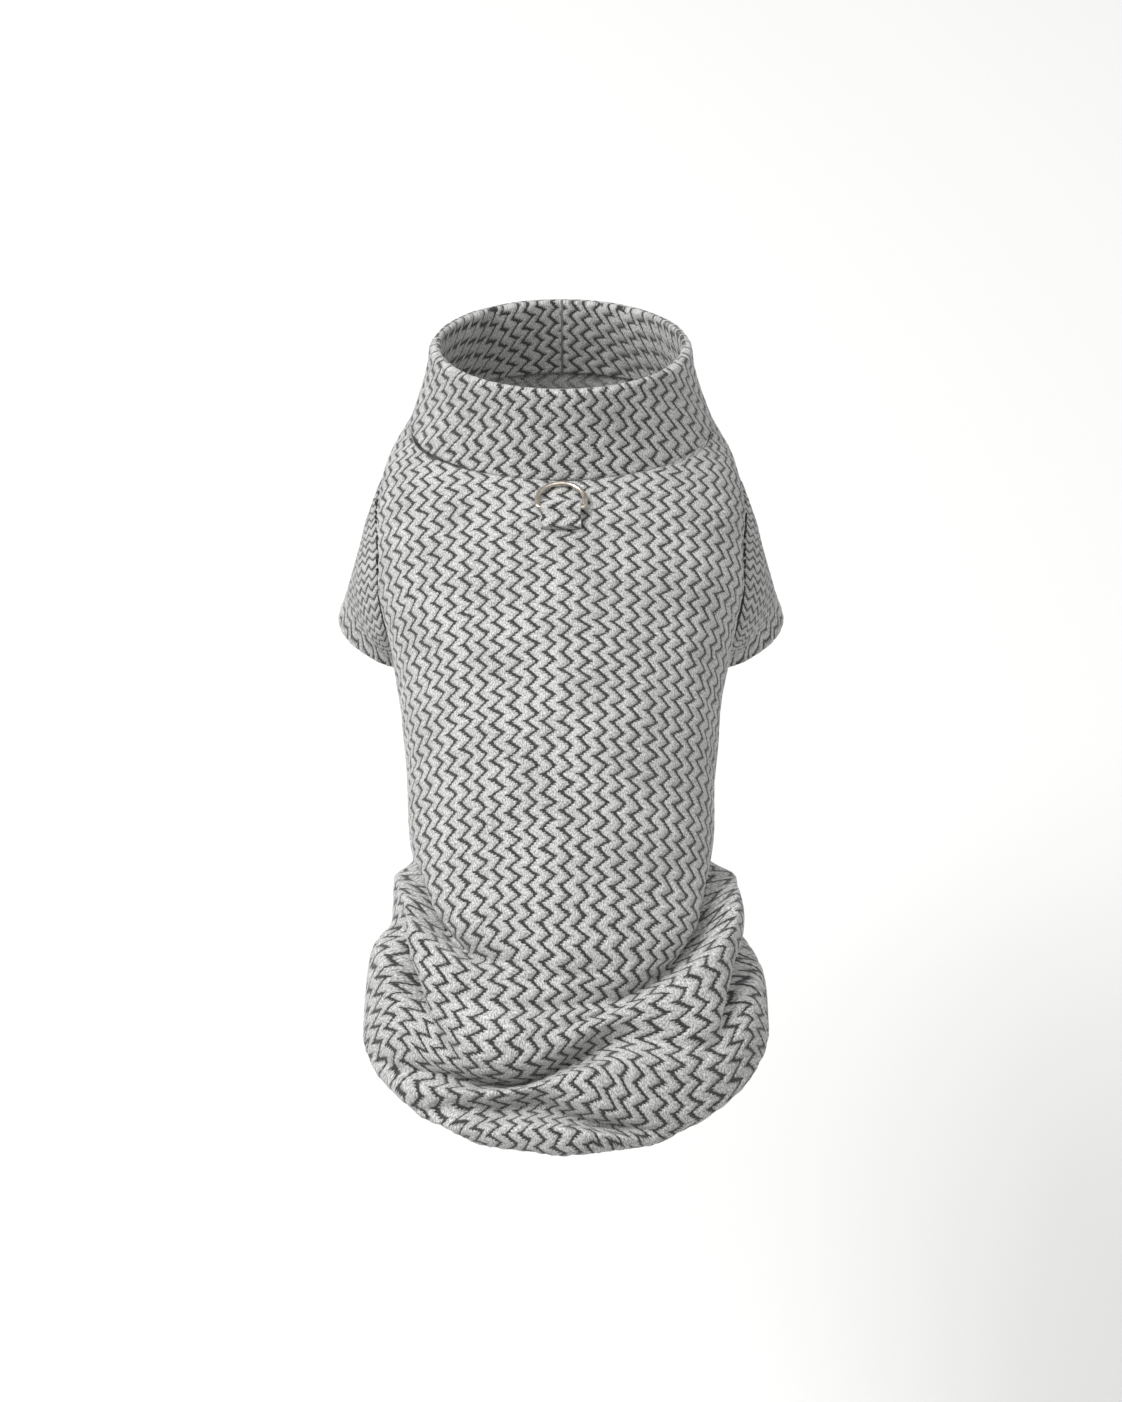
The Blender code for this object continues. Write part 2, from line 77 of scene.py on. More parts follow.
# The folds over the hips, where the length of the shirt is bunched up.
# One row for each valley, with the columns places, reach, lip and pinch:
# places: its line across the back from left to right, each as round, along, depth, behind, where
# behind is how far the cloth behind the valley stands out past the cloth before it.
# reach: half the valley's width. lip: how far the cloth behind leans forward over it.
# pinch: how much deeper its floor is nipped in, as a share of its depth.
FOLDS = (
    # on the left, where the smooth part of the back tucks under the first roll
    (((-104, 148, 2, 3), (-84, 156, 3, 6.5), (-66, 173, 6, 8), (-46, 196, 8, 6), (-26, 210, 4, 2),
      (-12, 212, 1, 0)), 10.0, 7.0, 0.5),
    # on the right and across the middle, under the main swag
    (((-34, 227, 3, 0), (-12, 231, 4, 1), (14, 228, 5, 3), (40, 213, 8, 8), (72, 174, 6, 12.5),
      (88, 156, 3, 10), (104, 144, 2, 7)), 10.0, 9.0, 0.36),
    # a soft hollow between the two
    (((-50, 206, 0, 0), (-26, 220, 2.5, 0), (4, 217, 2.5, 0), (24, 212, 1, 0)), 11.0, 1.0, 0.3),
    # at either side, under the outer rolls
    (((-104, 178, 1.5, 2.5), (-80, 185, 3, 2.5), (-64, 196, 8, 3), (-50, 222, 9, 2), (-42, 236, 4, 0)),
     12.0, 4.0, 0.36),
    (((50, 238, 2, 0), (62, 216, 9, 2), (79, 194, 6, 2), (104, 172, 1.5, 2)), 12.0, 4.0, 0.36),
    # the deep one low down, over the last roll but one
    (((-54, 250, 3, 0), (-40, 257, 8, 2), (-20, 261, 12, 4), (4, 254, 12, 4), (24, 245, 7, 2),
      (40, 243, 3, 0)), 8.0, 8.0, 0.45),
    # a shallow one in the main swag
    (((-8, 244, 1, 0), (10, 237, 4, 1), (28, 229, 4, 0), (44, 224, 1, 0)), 8.0, 3.0, 0.5),
    # over the hem roll
    (((-50, 268, 1, 0), (-36, 272, 5, 1), (-22, 275, 8, 1), (-2, 273, 9, 1), (16, 275, 7, 1),
      (32, 275, 1, 0)), 6.0, 5.0, 0.75),
)
CREASE = 1.35                       # how sharp a valley's floor is: 2 is round, and 1 is a crease
VALLEY_SIDES = 1.3                  # how steeply its sides fall to the floor
STEP_FROM, STEP_OVER = -0.4, 1.6    # the cloth behind it rises from here, over so much, in reaches
LIP_AT, LIP_HALF = 1.2, 0.9         # where the lip is, and half its width, in reaches
PINCH_REACH = 0.45                  # the share of a valley's width in which its floor is nipped in
PINCH_STEP = 0.3                    # the nip grows with the step behind the valley too
PINCH_ROUND, PINCH_FADE = 104.0, 50.0       # it is gone by here, and fades over so many degrees
FOLD_FADE = 14.0                    # degrees in which a fold runs out past its first and last place
HEM_ROLL = 8.0                      # the hem edge rolls under on this radius

# The collar, from the neck seam to its folded rim.
COLLAR_HEIGHT = 37.0
COLLAR_RIM_HALF = 55.0
COLLAR_RIM_BACK = 52.0
COLLAR_PROUD = 1.4                  # the doubled collar stands proud of the back panel
COLLAR_DRAWN, COLLAR_CURVE = 0.15, 0.7      # how much it is drawn in at its foot, and how that goes on

# The sleeve on the right. The left one is its mirror image.
CUFF_CENTRE = (71.5, 5.0, -117.0)   # from the centre back of the neck seam
CUFF_HALF_OUT = 28.5
CUFF_HALF_FORE = 30.0
CUFF_OUT_TILT = 22.0                # the outer edge of the cuff is higher than the inner one
CUFF_FORE_TILT = 20.0               # and the rear edge higher than the front one
SLEEVE_CAP = 26.0                   # how far the cloth runs on from the armhole before it turns down
CUFF_BAND = 0.76                    # share of the sleeve's length where its turned band begins
SLEEVE_DRAWN = 1.6                  # the sleeve's knit is drawn in, and its lines lie so much closer
SLEEVE_START = 0.9                  # it starts outward, as seen from a ring so much smaller

# Tab and ring.
TAB_HALF_WIDTH = 8.0
TAB_BAR_ALONG = 17.0                # the ring's straight bar, from the neck seam
TAB_END_ALONG = 26.0
TAB_LAYER = 1.2
TAB_LOOP_FROM, TAB_LOOP_TO = 55.0, 270.0    # the part of the tab that is bent round the bar
TAB_TAIL_TOP = ((0.55, 0.1), (0.33, 1.35))  # share of the tail, height above the bar's centre
TAB_EDGE = 0.5                      # rounding of its side edges
TAB_EDGE_STEPS = (0.0, 0.08, 0.25, 0.55, 1.0)       # where the rows lie that round them
TAB_PUFF = 0.6                      # the knit is drawn tight on the tab, and swells less by so much
TAB_LOOP_POINTS, TAB_FINER = 13, 4  # points of its outline round the bar, each drawn so much finer
TAB_COLUMNS = 29
BAR_CLEARANCE = 0.6
WIRE = 2.0
RING_WIDTH = 21.5                   # outside
RING_HEIGHT = 16.0                  # outside
RING_CORNER = 1.5
RING_REST_ABOVE = 0.35              # wire to cloth where the ring lies on the back
CORNER_POINTS, BOW_POINTS = 9, 62   # an even number in all, as a tube needs
WIRE_SIDES = 20

# ------------ sizes of the knit
LINE_SPACING = 6.9                  # from one dark zigzag line to the next
ZIGZAG_LENGTH = 7.6                 # one zigzag along the line
ZIGZAG_SWING = 4.5                  # from side to side
LINE_HALF = 0.48                    # half the width of a line's single stroke
DOUBLE_MORE = 0.14                  # and how much more it is in the other stroke, knitted double
STITCH_ROWS = 8                     # rows of stitches in one zigzag
WHOLE_ZIGZAGS = 1000                # more than any length of cloth has
STEPPED = 0.6                       # how far a line keeps to its stitches, from 0 straight to 1 stepped
CORNER_TAIL = 1.5                   # the floats that stick out past the left corners of a line,
TAIL_INTO, TAIL_HALF = 0.1, 0.42    # how far they reach into the line, and half their width
PUFF = 0.22                         # how far the pale cloth between two lines swells up
LEVEL_ALONG = 120.0                 # where the knit's rows run straight across the back
COLLAR_FOOT = 0.25                  # rounding of the collar's edges at the neck seam
NECK_GAP = 0.05                     # the collar is sewn on closely, with its knit running on
NECK_SINK = 0.12                    # how far the cloth sinks at the neck seam
SEAM_SINK = 0.7                     # how far it sinks at the other seams
SEAM_SOFT = 2.2                     # and the width over which it does

BUNCHED_ALONG, BUNCHED_OVER = 165.0, 40.0   # from here on the cloth is bunched, and wholly after so much
ASKEW = ((2.6, 34.0, 21), (2.6, 30.0, 22))  # its knit is then pulled out of true, across and down

# How uneven each piece lies: its lift, the size of its swells, and the seed of their places.
PANEL_UNEVEN = (0.25, 16.0, 3)      # the back and the belly
COLLAR_UNEVEN = (0.3, 22.0, 5)
SLEEVE_UNEVEN = (0.3, 14.0, 7)

CREASE_BOW = 0.08                   # a small crease bows aside by this share of its length,
CREASE_BEGIN, CREASE_END = 0.4, 0.5         # and rises and runs out over these shares of it
CREASE_PAST = 0.1                           # it reaches past its two points by this share,
CREASE_FALL = 1.6                           # and its sides fall a little more sharply than a bell's

# Small creases, as lines on the flat cloth: from and to as mm out and mm down, half width, lift.
# The back: drags below the shoulders, wrinkles over the waist, and the cloth under the tab's end.
BACK_CREASES = (
    ((-9, 27.6), (9, 27.6), 1.2, -0.9),
    ((4, 1.5), (15, 8.5), 1.8, 0.8),
    ((2, 5), (13, 12), 1.4, -0.5),
    ((-31, 93), (-11, 105), 2.2, -0.7),
    ((-27, 99), (-9, 109), 2.4, 0.4),
    ((-2, 89), (24, 99), 2.4, -0.7),
    ((2, 96), (27, 106), 2.6, 0.5),
    ((28, 101), (46, 112), 2.2, -0.6),
    ((30, 140), (52, 149), 2.8, -0.5),
    ((-56, 128), (-34, 140), 3, -0.5),
    ((-84, 64), (-54, 82), 3.4, -0.9),
    ((-88, 74), (-60, 94), 3.2, -0.7),
    ((84, 62), (56, 78), 3.4, -0.9),
    ((88, 76), (64, 98), 3.2, -0.7),
    ((-88, 112), (-66, 124), 3.6, -0.8),
    ((90, 108), (68, 122), 3.6, -0.8),
)
# The belly, from its middle: drags from the armholes in to the chest, and slack before the hem.
BELLY_CREASES = (
    ((-46, 58), (-14, 74), 3.6, -1.2),
    ((-50, 68), (-22, 92), 3.4, -1),
    ((47, 57), (18, 70), 3.6, -1.2),
    ((50, 70), (20, 88), 3.2, -0.9),
    ((-20, 84), (16, 90), 4.2, -0.9),
    ((-10, 98), (26, 95), 3.8, -0.8),
    ((-58, 108), (-30, 122), 3.6, -1.1),
    ((-62, 122), (-36, 142), 3.8, -1.2),
    ((58, 104), (34, 124), 3.6, -1.1),
    ((62, 124), (32, 138), 3.8, -1.2),
    ((-22, 118), (20, 124), 4.4, -0.9),
    ((-34, 8), (30, 11), 4, -0.9),
    ((-26, 24), (36, 21), 4.6, -0.8),
)
# A sleeve, from its top round to the rear: a fan of drags out of the armpit, behind and before.
SLEEVE_CREASES = (
    ((74, 10), (30, 15), 2.2, -0.8),
    ((76, 16), (26, 27), 2.6, -1.1),
    ((76, 19), (36, 33), 2.2, 0.6),
    ((78, 23), (34, 42), 2.6, -1.1),
    ((80, 28), (48, 49), 2.4, -0.9),
    ((58, 7), (14, 8), 1.8, -0.6),
    ((-74, 12), (-32, 18), 2.6, -1),
    ((-78, 19), (-38, 33), 2.8, -1.1),
    ((-80, 26), (-46, 43), 2.6, -0.9),
    ((-14, 24), (12, 33), 3.4, -0.6),
)


# ------------ curves, and tables into smooth functions
def curve(t, start, leave, end, arrive):
    """From start to end as t goes from 0 to 1, leaving and arriving with those speeds."""
    return ((1 + 2 * t) * (1 - t) ** 2 * start + t * (1 - t) ** 2 * leave
            + t * t * (3 - 2 * t) * end + t * t * (t - 1) * arrive)


def arc(centre, radius, start, end, count):
    """Points on a circle, from one angle to another in degrees."""
    return [(centre[0] + radius * math.cos(a), centre[1] + radius * math.sin(a))
            for a in np.radians(np.linspace(start, end, count))]


def bell(x, width):
    """1 where x is 0, and all but gone at twice the width to either side."""
    return np.exp(-(x / width) ** 2)


def smooth(xs, ys, x):
    """Monotone cubic through the points of a table, straight on beyond its ends."""
    xs, ys = np.asarray(xs, float), np.asarray(ys, float)
    step = np.diff(xs)
    rate = np.diff(ys) / step
    slope = np.empty_like(ys)
    slope[1:-1] = np.where(rate[1:] * rate[:-1] > 0,
                           2 * rate[1:] * rate[:-1] / (rate[1:] + rate[:-1] + 1e-12), 0)
    slope[0], slope[-1] = rate[0], rate[-1]
    x = np.asarray(x, float)
    inside = np.clip(x, xs[0], xs[-1])
    k = np.clip(np.searchsorted(xs, inside, side="right") - 1, 0, len(step) - 1)
    value = curve((inside - xs[k]) / step[k], ys[k], step[k] * slope[k], ys[k + 1], step[k] * slope[k + 1])
    beyond = np.where(x > xs[-1], slope[-1] * (x - xs[-1]), np.where(x < xs[0], slope[0] * (x - xs[0]), 0))
    return value + beyond


def section(name, along):
    """A column of the section table at any distance along the back."""
    column = SECTION_COLUMNS.index(name)
    return smooth([row[0] for row in SECTIONS], [row[column] for row in SECTIONS], along)


BACK_STEP = 1.0
BACK_ALONG = np.arange(-20.0, 340.0, BACK_STEP)
BACK_SLOPE = np.radians(section("slope", BACK_ALONG))
BACK_Y = -np.cumsum(np.cos(BACK_SLOPE)) * BACK_STEP
BACK_Z = -np.cumsum(np.sin(BACK_SLOPE)) * BACK_STEP


def unit(v):
    return v / np.linalg.norm(v, axis=-1, keepdims=True)


def smoothstep(x):
    x = np.clip(x, 0, 1)
    return x * x * (3 - 2 * x)


def back_line(along):
    """Centre back, on the outer face, with the neck seam at the origin."""
    y = np.interp(along, BACK_ALONG, BACK_Y) - np.interp(0.0, BACK_ALONG, BACK_Y)
    z = np.interp(along, BACK_ALONG, BACK_Z) - np.interp(0.0, BACK_ALONG, BACK_Z)
    return y, z


def torso_form(round_deg, along):
    """The torso without its folds."""
    angle = np.radians(round_deg)
    lean = np.radians(section("lean", along))
    rise, depth = section("rise", along), section("depth", along)
    upper = np.cos(angle) > 0
    quarter = np.sin(2 * angle) ** 2
    full = np.where(upper, 1 + SHOULDER_SQUARE * quarter, 1 - section("tuck", along) * quarter)
    x = section("half", along) * np.sin(angle) * full
    down = rise - np.where(upper, rise, depth - rise) * np.cos(angle)
    y, z = back_line(along)
    return np.stack([x, y + down * np.sin(lean), z - down * np.cos(lean)], axis=-1)


def across_and_along(surface, round_deg, along):
    """Unit tangents of a surface round it and down it, and its outward normal."""
    du, dv = 0.05, 0.05
    across = surface(round_deg + du, along) - surface(round_deg - du, along)
    down = surface(round_deg, along + dv) - surface(round_deg, along - dv)
    return unit(across), unit(down), unit(np.cross(down, across))


def wrapped(round_deg):
    """The same round between -180 and 180."""
    return (np.asarray(round_deg, float) + 180) % 360 - 180


def hem_along(round_deg):
    return smooth(*np.transpose(HEM), np.abs(wrapped(round_deg)))


def fold_shift(round_deg, along):
    """How far the folds lift the cloth off the plain form, and push it towards the head."""
    round_deg = wrapped(round_deg)
    lift, advance = np.zeros(along.shape), np.zeros(along.shape)
    for places, reach, lip, pinch in FOLDS:
        at, line, depth, behind = np.array(places, float).T
        middle = smooth(at, line, round_deg)
        held = np.clip(round_deg, at[0], at[-1])
        size, step = smooth(at, depth, held), smooth(at, behind, held)
        past = np.maximum(at[0] - round_deg, round_deg - at[-1])
        share = 1 - smoothstep(past / FOLD_FADE)
        x = (along - middle) / reach
        valley = size * np.exp(-VALLEY_SIDES * np.abs(x) ** CREASE)
        lift += share * (step * smoothstep((x - STEP_FROM) / STEP_OVER) - valley)
        nip = pinch * share * smoothstep((PINCH_ROUND - np.abs(round_deg)) / PINCH_FADE)
        lift -= nip * (size + PINCH_STEP * step) * np.exp(-np.abs(x / PINCH_REACH) ** CREASE)
        strength = (size + step) / (depth + behind).max()
        advance += lip * share * strength * bell(x - LIP_AT, LIP_HALF)
    # The last quarter turn of cloth, and a little past it, rolls under at the hem.
    past_hem = (along - hem_along(round_deg)) / (HEM_ROLL * math.pi / 2)
    edge = np.clip(past_hem + 1, 0, 1.2) * math.pi / 2
    lift -= HEM_ROLL * (1 - np.cos(edge))
    advance += HEM_ROLL * (edge - np.sin(edge))
    return lift, advance


def torso(round_deg, along):
    """The torso with its folds: the outer face of the cloth."""
    lift, advance = fold_shift(round_deg, along)
    down, normal = across_and_along(torso_form, round_deg, along)[1:]
    return torso_form(round_deg, along) + normal * lift[..., None] - down * advance[..., None]


def torso_wall(round_deg, along, above):
    """A point above (or below) the torso's outer face, along its normal."""
    round_deg, along = np.broadcast_arrays(np.asarray(round_deg, float), np.asarray(along, float))
    normal = across_and_along(torso, round_deg, along)[2]
    return torso(round_deg, along) + normal * np.asarray(above, float)[..., None]


WITHERS = torso_wall(0.0, WITHERS_ALONG, -WALL)


def collar_wall(round_deg, height, depth):
    """The collar: height above the neck seam in mm, depth in from its outer face."""
    angle = np.radians(round_deg)
    lean = np.radians(section("lean", 0.0))
    rise, drop = section("rise", 0.0), section("depth", 0.0) - section("rise", 0.0)
    share = smoothstep(COLLAR_DRAWN + (1 - COLLAR_DRAWN) * height / COLLAR_HEIGHT) ** COLLAR_CURVE
    upper = np.cos(angle) > 0
    half = section("half", 0.0) + COLLAR_PROUD
    half = half + (COLLAR_RIM_HALF - half) * share
    high = np.where(upper, rise, drop) + COLLAR_PROUD
    high = high + (COLLAR_RIM_BACK - high) * share
    x = (half - depth) * np.sin(angle)
    up = (high - depth) * np.cos(angle) - rise
    y, z = back_line(0.0)
    return np.stack([x, y - up * np.sin(lean) + height * np.cos(lean),
                     z + up * np.cos(lean) + height * np.sin(lean)], axis=-1)


def armhole(turn_deg, size=1.0):
    """Round and along on the torso's surface, from the top of the right armhole by way of its rear."""
    turn = np.radians(turn_deg)
    return (SIDE_SEAM_ROUND - size * ARMHOLE_HALF_ROUND * np.cos(turn),
            ARMHOLE_ALONG + size * ARMHOLE_HALF_ALONG * np.sin(turn))


def cuff(turn_deg):
    """The edge of the right cuff's outer face, and the direction down the sleeve."""
    turn = np.radians(turn_deg)
    out_tilt, fore_tilt = math.radians(CUFF_OUT_TILT), math.radians(CUFF_FORE_TILT)
    out = np.array([math.cos(out_tilt), 0, math.sin(out_tilt)])
    rear = np.array([0, -math.cos(fore_tilt), math.sin(fore_tilt)])
    edge = (np.array(CUFF_CENTRE) + CUFF_HALF_OUT * np.cos(turn)[..., None] * out
            + CUFF_HALF_FORE * np.sin(turn)[..., None] * rear)
    return edge, unit(np.cross(out, rear))


def sleeve(turn_deg, share):
    """The outer face of the right sleeve, from the armhole (0) to the cuff (1)."""
    turn_deg, share = np.broadcast_arrays(np.asarray(turn_deg, float), np.asarray(share, float))
    hole = torso(*armhole(turn_deg))
    normal = across_and_along(torso, *armhole(turn_deg))[2]
    outward = unit(hole - torso(*armhole(turn_deg, SLEEVE_START)))
    start = hole - SEAM_GAP * outward + SEAM_GAP * normal
    end, down = cuff(turn_deg)
    leave = (end - start) + SLEEVE_CAP * normal
    arrive = down * np.linalg.norm(end - start, axis=-1, keepdims=True)
    return curve(share[..., None], start, leave, end, arrive)


def sleeve_wall(turn_deg, share, depth):
    """A point inside the sleeve's outer face, by a depth in mm."""
    inward = across_and_along(sleeve, turn_deg, share)[2]
    return sleeve(turn_deg, share) + inward * np.asarray(depth, float)[..., None]


# ------------ the flat cloth
ROUND_STEP, ALONG_STEP = 2.0, 0.8
ROUND_GRID = np.arange(-180.0, 180.5, ROUND_STEP)
ALONG_GRID = np.arange(-4.0, 312.0, ALONG_STEP)


def lengths(points, axis):
    """Length of the line from the first of some points to each of them."""
    step = np.linalg.norm(np.diff(points, axis=axis), axis=-1)
    start = np.zeros_like(np.take(step, [0], axis=axis))
    return np.concatenate([start, np.cumsum(step, axis=axis)], axis=axis)


def flat_torso():
    """Two tables over round and along: how far out from the centre back, and how far down, on the cloth."""
    round_deg, along = np.meshgrid(ROUND_GRID, ALONG_GRID, indexing="ij")
    out = lengths(torso_form(round_deg, along), 0)
    down = lengths(torso(round_deg, along), 1)
    spine = np.abs(ROUND_GRID).argmin()
    level = np.abs(ALONG_GRID - LEVEL_ALONG).argmin()
    return out - out[spine], down - down[:, [level]] + ALONG_GRID[level]


FLAT_OUT, FLAT_DOWN = flat_torso()


def between(table, row, column):
    """A table read between its points, at rows and columns that needn't be whole."""
    row = np.clip(row, 0, table.shape[0] - 1.001)
    column = np.clip(column, 0, table.shape[1] - 1.001)
    a, b = row.astype(int), column.astype(int)
    s, t = row - a, column - b
    near = table[a, b] * (1 - t) + table[a, b + 1] * t
    far = table[a + 1, b] * (1 - t) + table[a + 1, b + 1] * t
    return near * (1 - s) + far * s


def on_table(table, round_deg, along):
    return between(table, (round_deg - ROUND_GRID[0]) / ROUND_STEP, (along - ALONG_GRID[0]) / ALONG_STEP)


def on_cloth(round_deg, along):
    """Where a point of the torso lies on the flat cloth: mm out from the centre back, and mm down."""
    round_deg = wrapped(round_deg)
    return np.stack([on_table(table, round_deg, along) for table in (FLAT_OUT, FLAT_DOWN)], axis=-1)


def zigzag(down):
    """How far the knit's lines swing to the side, at a distance down the cloth."""
    return ZIGZAG_SWING * (1 - np.abs((down / ZIGZAG_LENGTH) % 1 * 2 - 1))


def creased(cloth, creases):
    """Lift of a table's small creases: each is deepest at its middle and runs out at its ends."""
    total = np.zeros(cloth.shape[:-1])
    for start, end, half_width, lift in creases:
        line = np.subtract(end, start)
        from_start = cloth - start
        share = (from_start @ line) / (line @ line)
        bow = CREASE_BOW * np.hypot(*line) * np.sin(math.pi * np.clip(share, 0, 1))
        aside = (from_start[..., 0] * line[1] - from_start[..., 1] * line[0]) / np.hypot(*line) - bow
        begun = smoothstep((share + CREASE_PAST) / CREASE_BEGIN)
        run_out = begun * smoothstep((1 + CREASE_PAST - share) / CREASE_END)
        total += lift * run_out * np.exp(-np.abs(aside / half_width) ** CREASE_FALL)
    return total


def puffed(cloth):
    """Relief of the knit: the pale cloth swells up between two dark lines."""
    across = (cloth[..., 0] - zigzag(cloth[..., 1])) / LINE_SPACING
    return -PUFF * np.cos(2 * math.pi * across)


def uneven(cloth, lift, size, seed):
    """Soft unevenness of about that lift, with hollows and swells of about that size.

    It is a sum of waves in directions all round, each 1.4 to 2.6 times the size long.
    """
    rng = np.random.default_rng(seed)
    total = np.zeros(cloth.shape[:-1])
    waves = 7
    for number in range(waves):
        angle = math.pi * (number + rng.random()) / waves
        wave = 2 * math.pi / (size * (1.4 + 1.2 * rng.random()))
        across = cloth[..., 0] * math.cos(angle) + cloth[..., 1] * math.sin(angle)
        total += np.sin(wave * across + 2 * math.pi * rng.random())
    return lift * (total / math.sqrt(waves))


# ------------ making the cloth
def finished(bm, name):
    """A new smooth object from a bmesh, which it uses up."""
    mesh = bpy.data.meshes.new(name)
    bm.to_mesh(mesh)
    bm.free()
    mesh.shade_smooth()
    obj = bpy.data.objects.new(name, mesh)
    bpy.context.collection.objects.link(obj)
    return obj


def vertex_of_corner(mesh):
    """The number of the vertex at each corner of each face."""
    corner = np.empty(len(mesh.loops), int)
    mesh.loops.foreach_get("vertex_index", corner)
    return corner


def made(bm, name, points, cloth, inside):
    """Put a bmesh's vertices at points (mm from the neck seam), with the flat cloth as its UV map.

    cloth has the place of each vertex on the flat cloth, and inside is 1 for those of the lining.
    """
    for vert, point in zip(bm.verts, (points - WITHERS) * MM):
        vert.co = point
    bmesh.ops.recalc_face_normals(bm, faces=bm.faces)
    if bm.calc_volume(signed=True) < 0:
        bmesh.ops.reverse_faces(bm, faces=bm.faces)
    obj = finished(bm, name)
    mesh = obj.data
    corner = vertex_of_corner(mesh)
    mesh.uv_layers.new(name="cloth").data.foreach_set("uv", cloth[corner].ravel().astype(np.float32))
    starts = np.empty(len(mesh.polygons), int)
    mesh.polygons.foreach_get("loop_start", starts)
    mesh.polygons.foreach_set("material_index", inside[corner[starts]].astype(int))
    return obj


def panel(name, columns, rows, place, lay):
    """A wall of cloth with four edges. place(across, down, depth) gives its points and
    lay(across, down) their places on the flat cloth; across, down and depth run from 0 to 1.
    """
    bm = bmesh.new()
    for depth, coarser in ((0, 1), (1, 2)):
        bmesh.ops.create_grid(bm, x_segments=columns // coarser, y_segments=rows // coarser, size=1,
                              matrix=Matrix.Translation((0, 0, depth)))
    rims = [edge for edge in bm.edges if edge.is_boundary]
    bmesh.ops.bridge_loops(bm, edges=rims)
    grid = np.array([vert.co for vert in bm.verts])
    across, down, depth = (grid[:, 0] + 1) / 2, (1 - grid[:, 1]) / 2, grid[:, 2]
    return made(bm, name, place(across, down, depth), lay(across, down), depth > 0.5)


def tube(name, around, profile, lined, place, lay):
    """A closed wall of cloth round an opening. profile is a loop of (height, depth) through it.

    Past the depth lined, its faces are those of the lining. place and lay take the turn in
    degrees, the height and the depth. The seam of the piece is at 180.
    """
    bm = bmesh.new()
    verts = [bm.verts.new((2 + i, 0, 0)) for i in range(len(profile))]
    edges = [bm.edges.new((verts[i - 1], verts[i])) for i in range(len(profile))]
    bmesh.ops.spin(bm, geom=verts + edges, angle=2 * math.pi, steps=around, axis=(0, 0, 1),
                   cent=(0, 0, 0), use_merge=True)
    bmesh.ops.remove_doubles(bm, verts=bm.verts, dist=1e-4)
    spun = np.array([vert.co for vert in bm.verts])
    step = 360 / around
    turn = np.rint(np.degrees(np.arctan2(spun[:, 1], spun[:, 0])) / step) * step
    turn[turn < -180 + step / 2] = 180.0
    number = np.rint(np.hypot(spun[:, 0], spun[:, 1]) - 2).astype(int)
    height, depth = np.array(profile, float)[number].T
    obj = made(bm, name, place(turn, height, depth), lay(turn, height, depth), depth > lined)
    mend_seam(obj.data, turn, lay(0 * turn - 180.0, height, depth))
    return obj


def numbered(turn, count):
    """Which of the points round a tube lies at a turn; the last is the first one again."""
    return np.rint((np.asarray(turn) + 180) * count / 360).astype(int)


def mend_seam(mesh, turn, other_side):
    """Where a tube's flat cloth begins again, its faces take the places of the other side."""
    corner = vertex_of_corner(mesh)
    faces = turn[corner].reshape(-1, 4)
    begins = (faces > 179.9) & (faces.min(axis=1) < 0)[:, None]
    uv = np.empty(len(mesh.loops) * 2, np.float32)
    mesh.uv_layers["cloth"].data.foreach_get("uv", uv)
    uv = uv.reshape(-1, 2)
    swap = begins.ravel()
    uv[swap] = other_side[corner[swap]]
    mesh.uv_layers["cloth"].data.foreach_set("uv", uv.ravel())


# ------------ back and belly
FRONT_ROWS, ARMHOLE_ROWS, BODY_ROWS, FOLD_ROWS = 2, 12, 7, 32
FOLD_SHARE = 0.47                   # of the length behind the armhole, where the folds lie
SIDE_GAP_ROUND = 0.02               # half the gap at the side seam, as an angle
FINE_ROWS = (8, 50, 94, 152)        # rows of the scene's cloth in each of those four parts
BACK_COLUMNS, BELLY_COLUMNS = 216, 108


def fine_row(down):
    """The row number of the solid's own rows at a share of the way down the scene's finer ones."""
    ends = np.cumsum((0,) + FINE_ROWS) / sum(FINE_ROWS)
    return np.interp(down, ends, np.cumsum((0, FRONT_ROWS, ARMHOLE_ROWS, BODY_ROWS, FOLD_ROWS)))


def row_along(row, round_deg):
    """How far down the back a row of a panel lies: straight at the armhole, slanted at the hem."""
    before = ARMHOLE_ALONG - ARMHOLE_HALF_ALONG
    behind = ARMHOLE_ALONG + ARMHOLE_HALF_ALONG
    front = before * row / FRONT_ROWS
    beside = ARMHOLE_ALONG - ARMHOLE_HALF_ALONG * np.cos(math.pi * (row - FRONT_ROWS) / ARMHOLE_ROWS)
    last = row - FRONT_ROWS - ARMHOLE_ROWS
    body = (1 - FOLD_SHARE) * last / BODY_ROWS
    fold = 1 - FOLD_SHARE + FOLD_SHARE * (last - BODY_ROWS) / FOLD_ROWS
    share = np.where(last < BODY_ROWS, body, fold)
    rear = behind + share * (hem_along(round_deg) - behind)
    return np.where(row < FRONT_ROWS, front, np.where(last < 0, beside, rear))


def notch(row):
    """How much of the round a panel gives up to the armhole at a row."""
    turn = math.pi * (row - FRONT_ROWS) / ARMHOLE_ROWS
    inside = (row > FRONT_ROWS) & (row < FRONT_ROWS + ARMHOLE_ROWS)
    return np.where(inside, ARMHOLE_HALF_ROUND * np.sin(turn), 0.0)


def panel_cloth(centre, round_deg, along):
    """The place on the flat cloth, measured out from the panel's own middle.

    Where the cloth is bunched it is pulled askew, so its rows and lines wander.
    """
    cloth = on_cloth(round_deg, along)
    bunched = smoothstep((along - BUNCHED_ALONG) / BUNCHED_OVER)
    pull = np.stack([uneven(cloth, *waves) for waves in ASKEW], axis=-1)
    cloth = cloth + bunched[..., None] * pull
    if centre == 180:
        side = np.where(wrapped(round_deg) < 0, -180.0, 179.999)
        cloth[..., 0] -= on_table(FLAT_OUT, side, along)
    return cloth


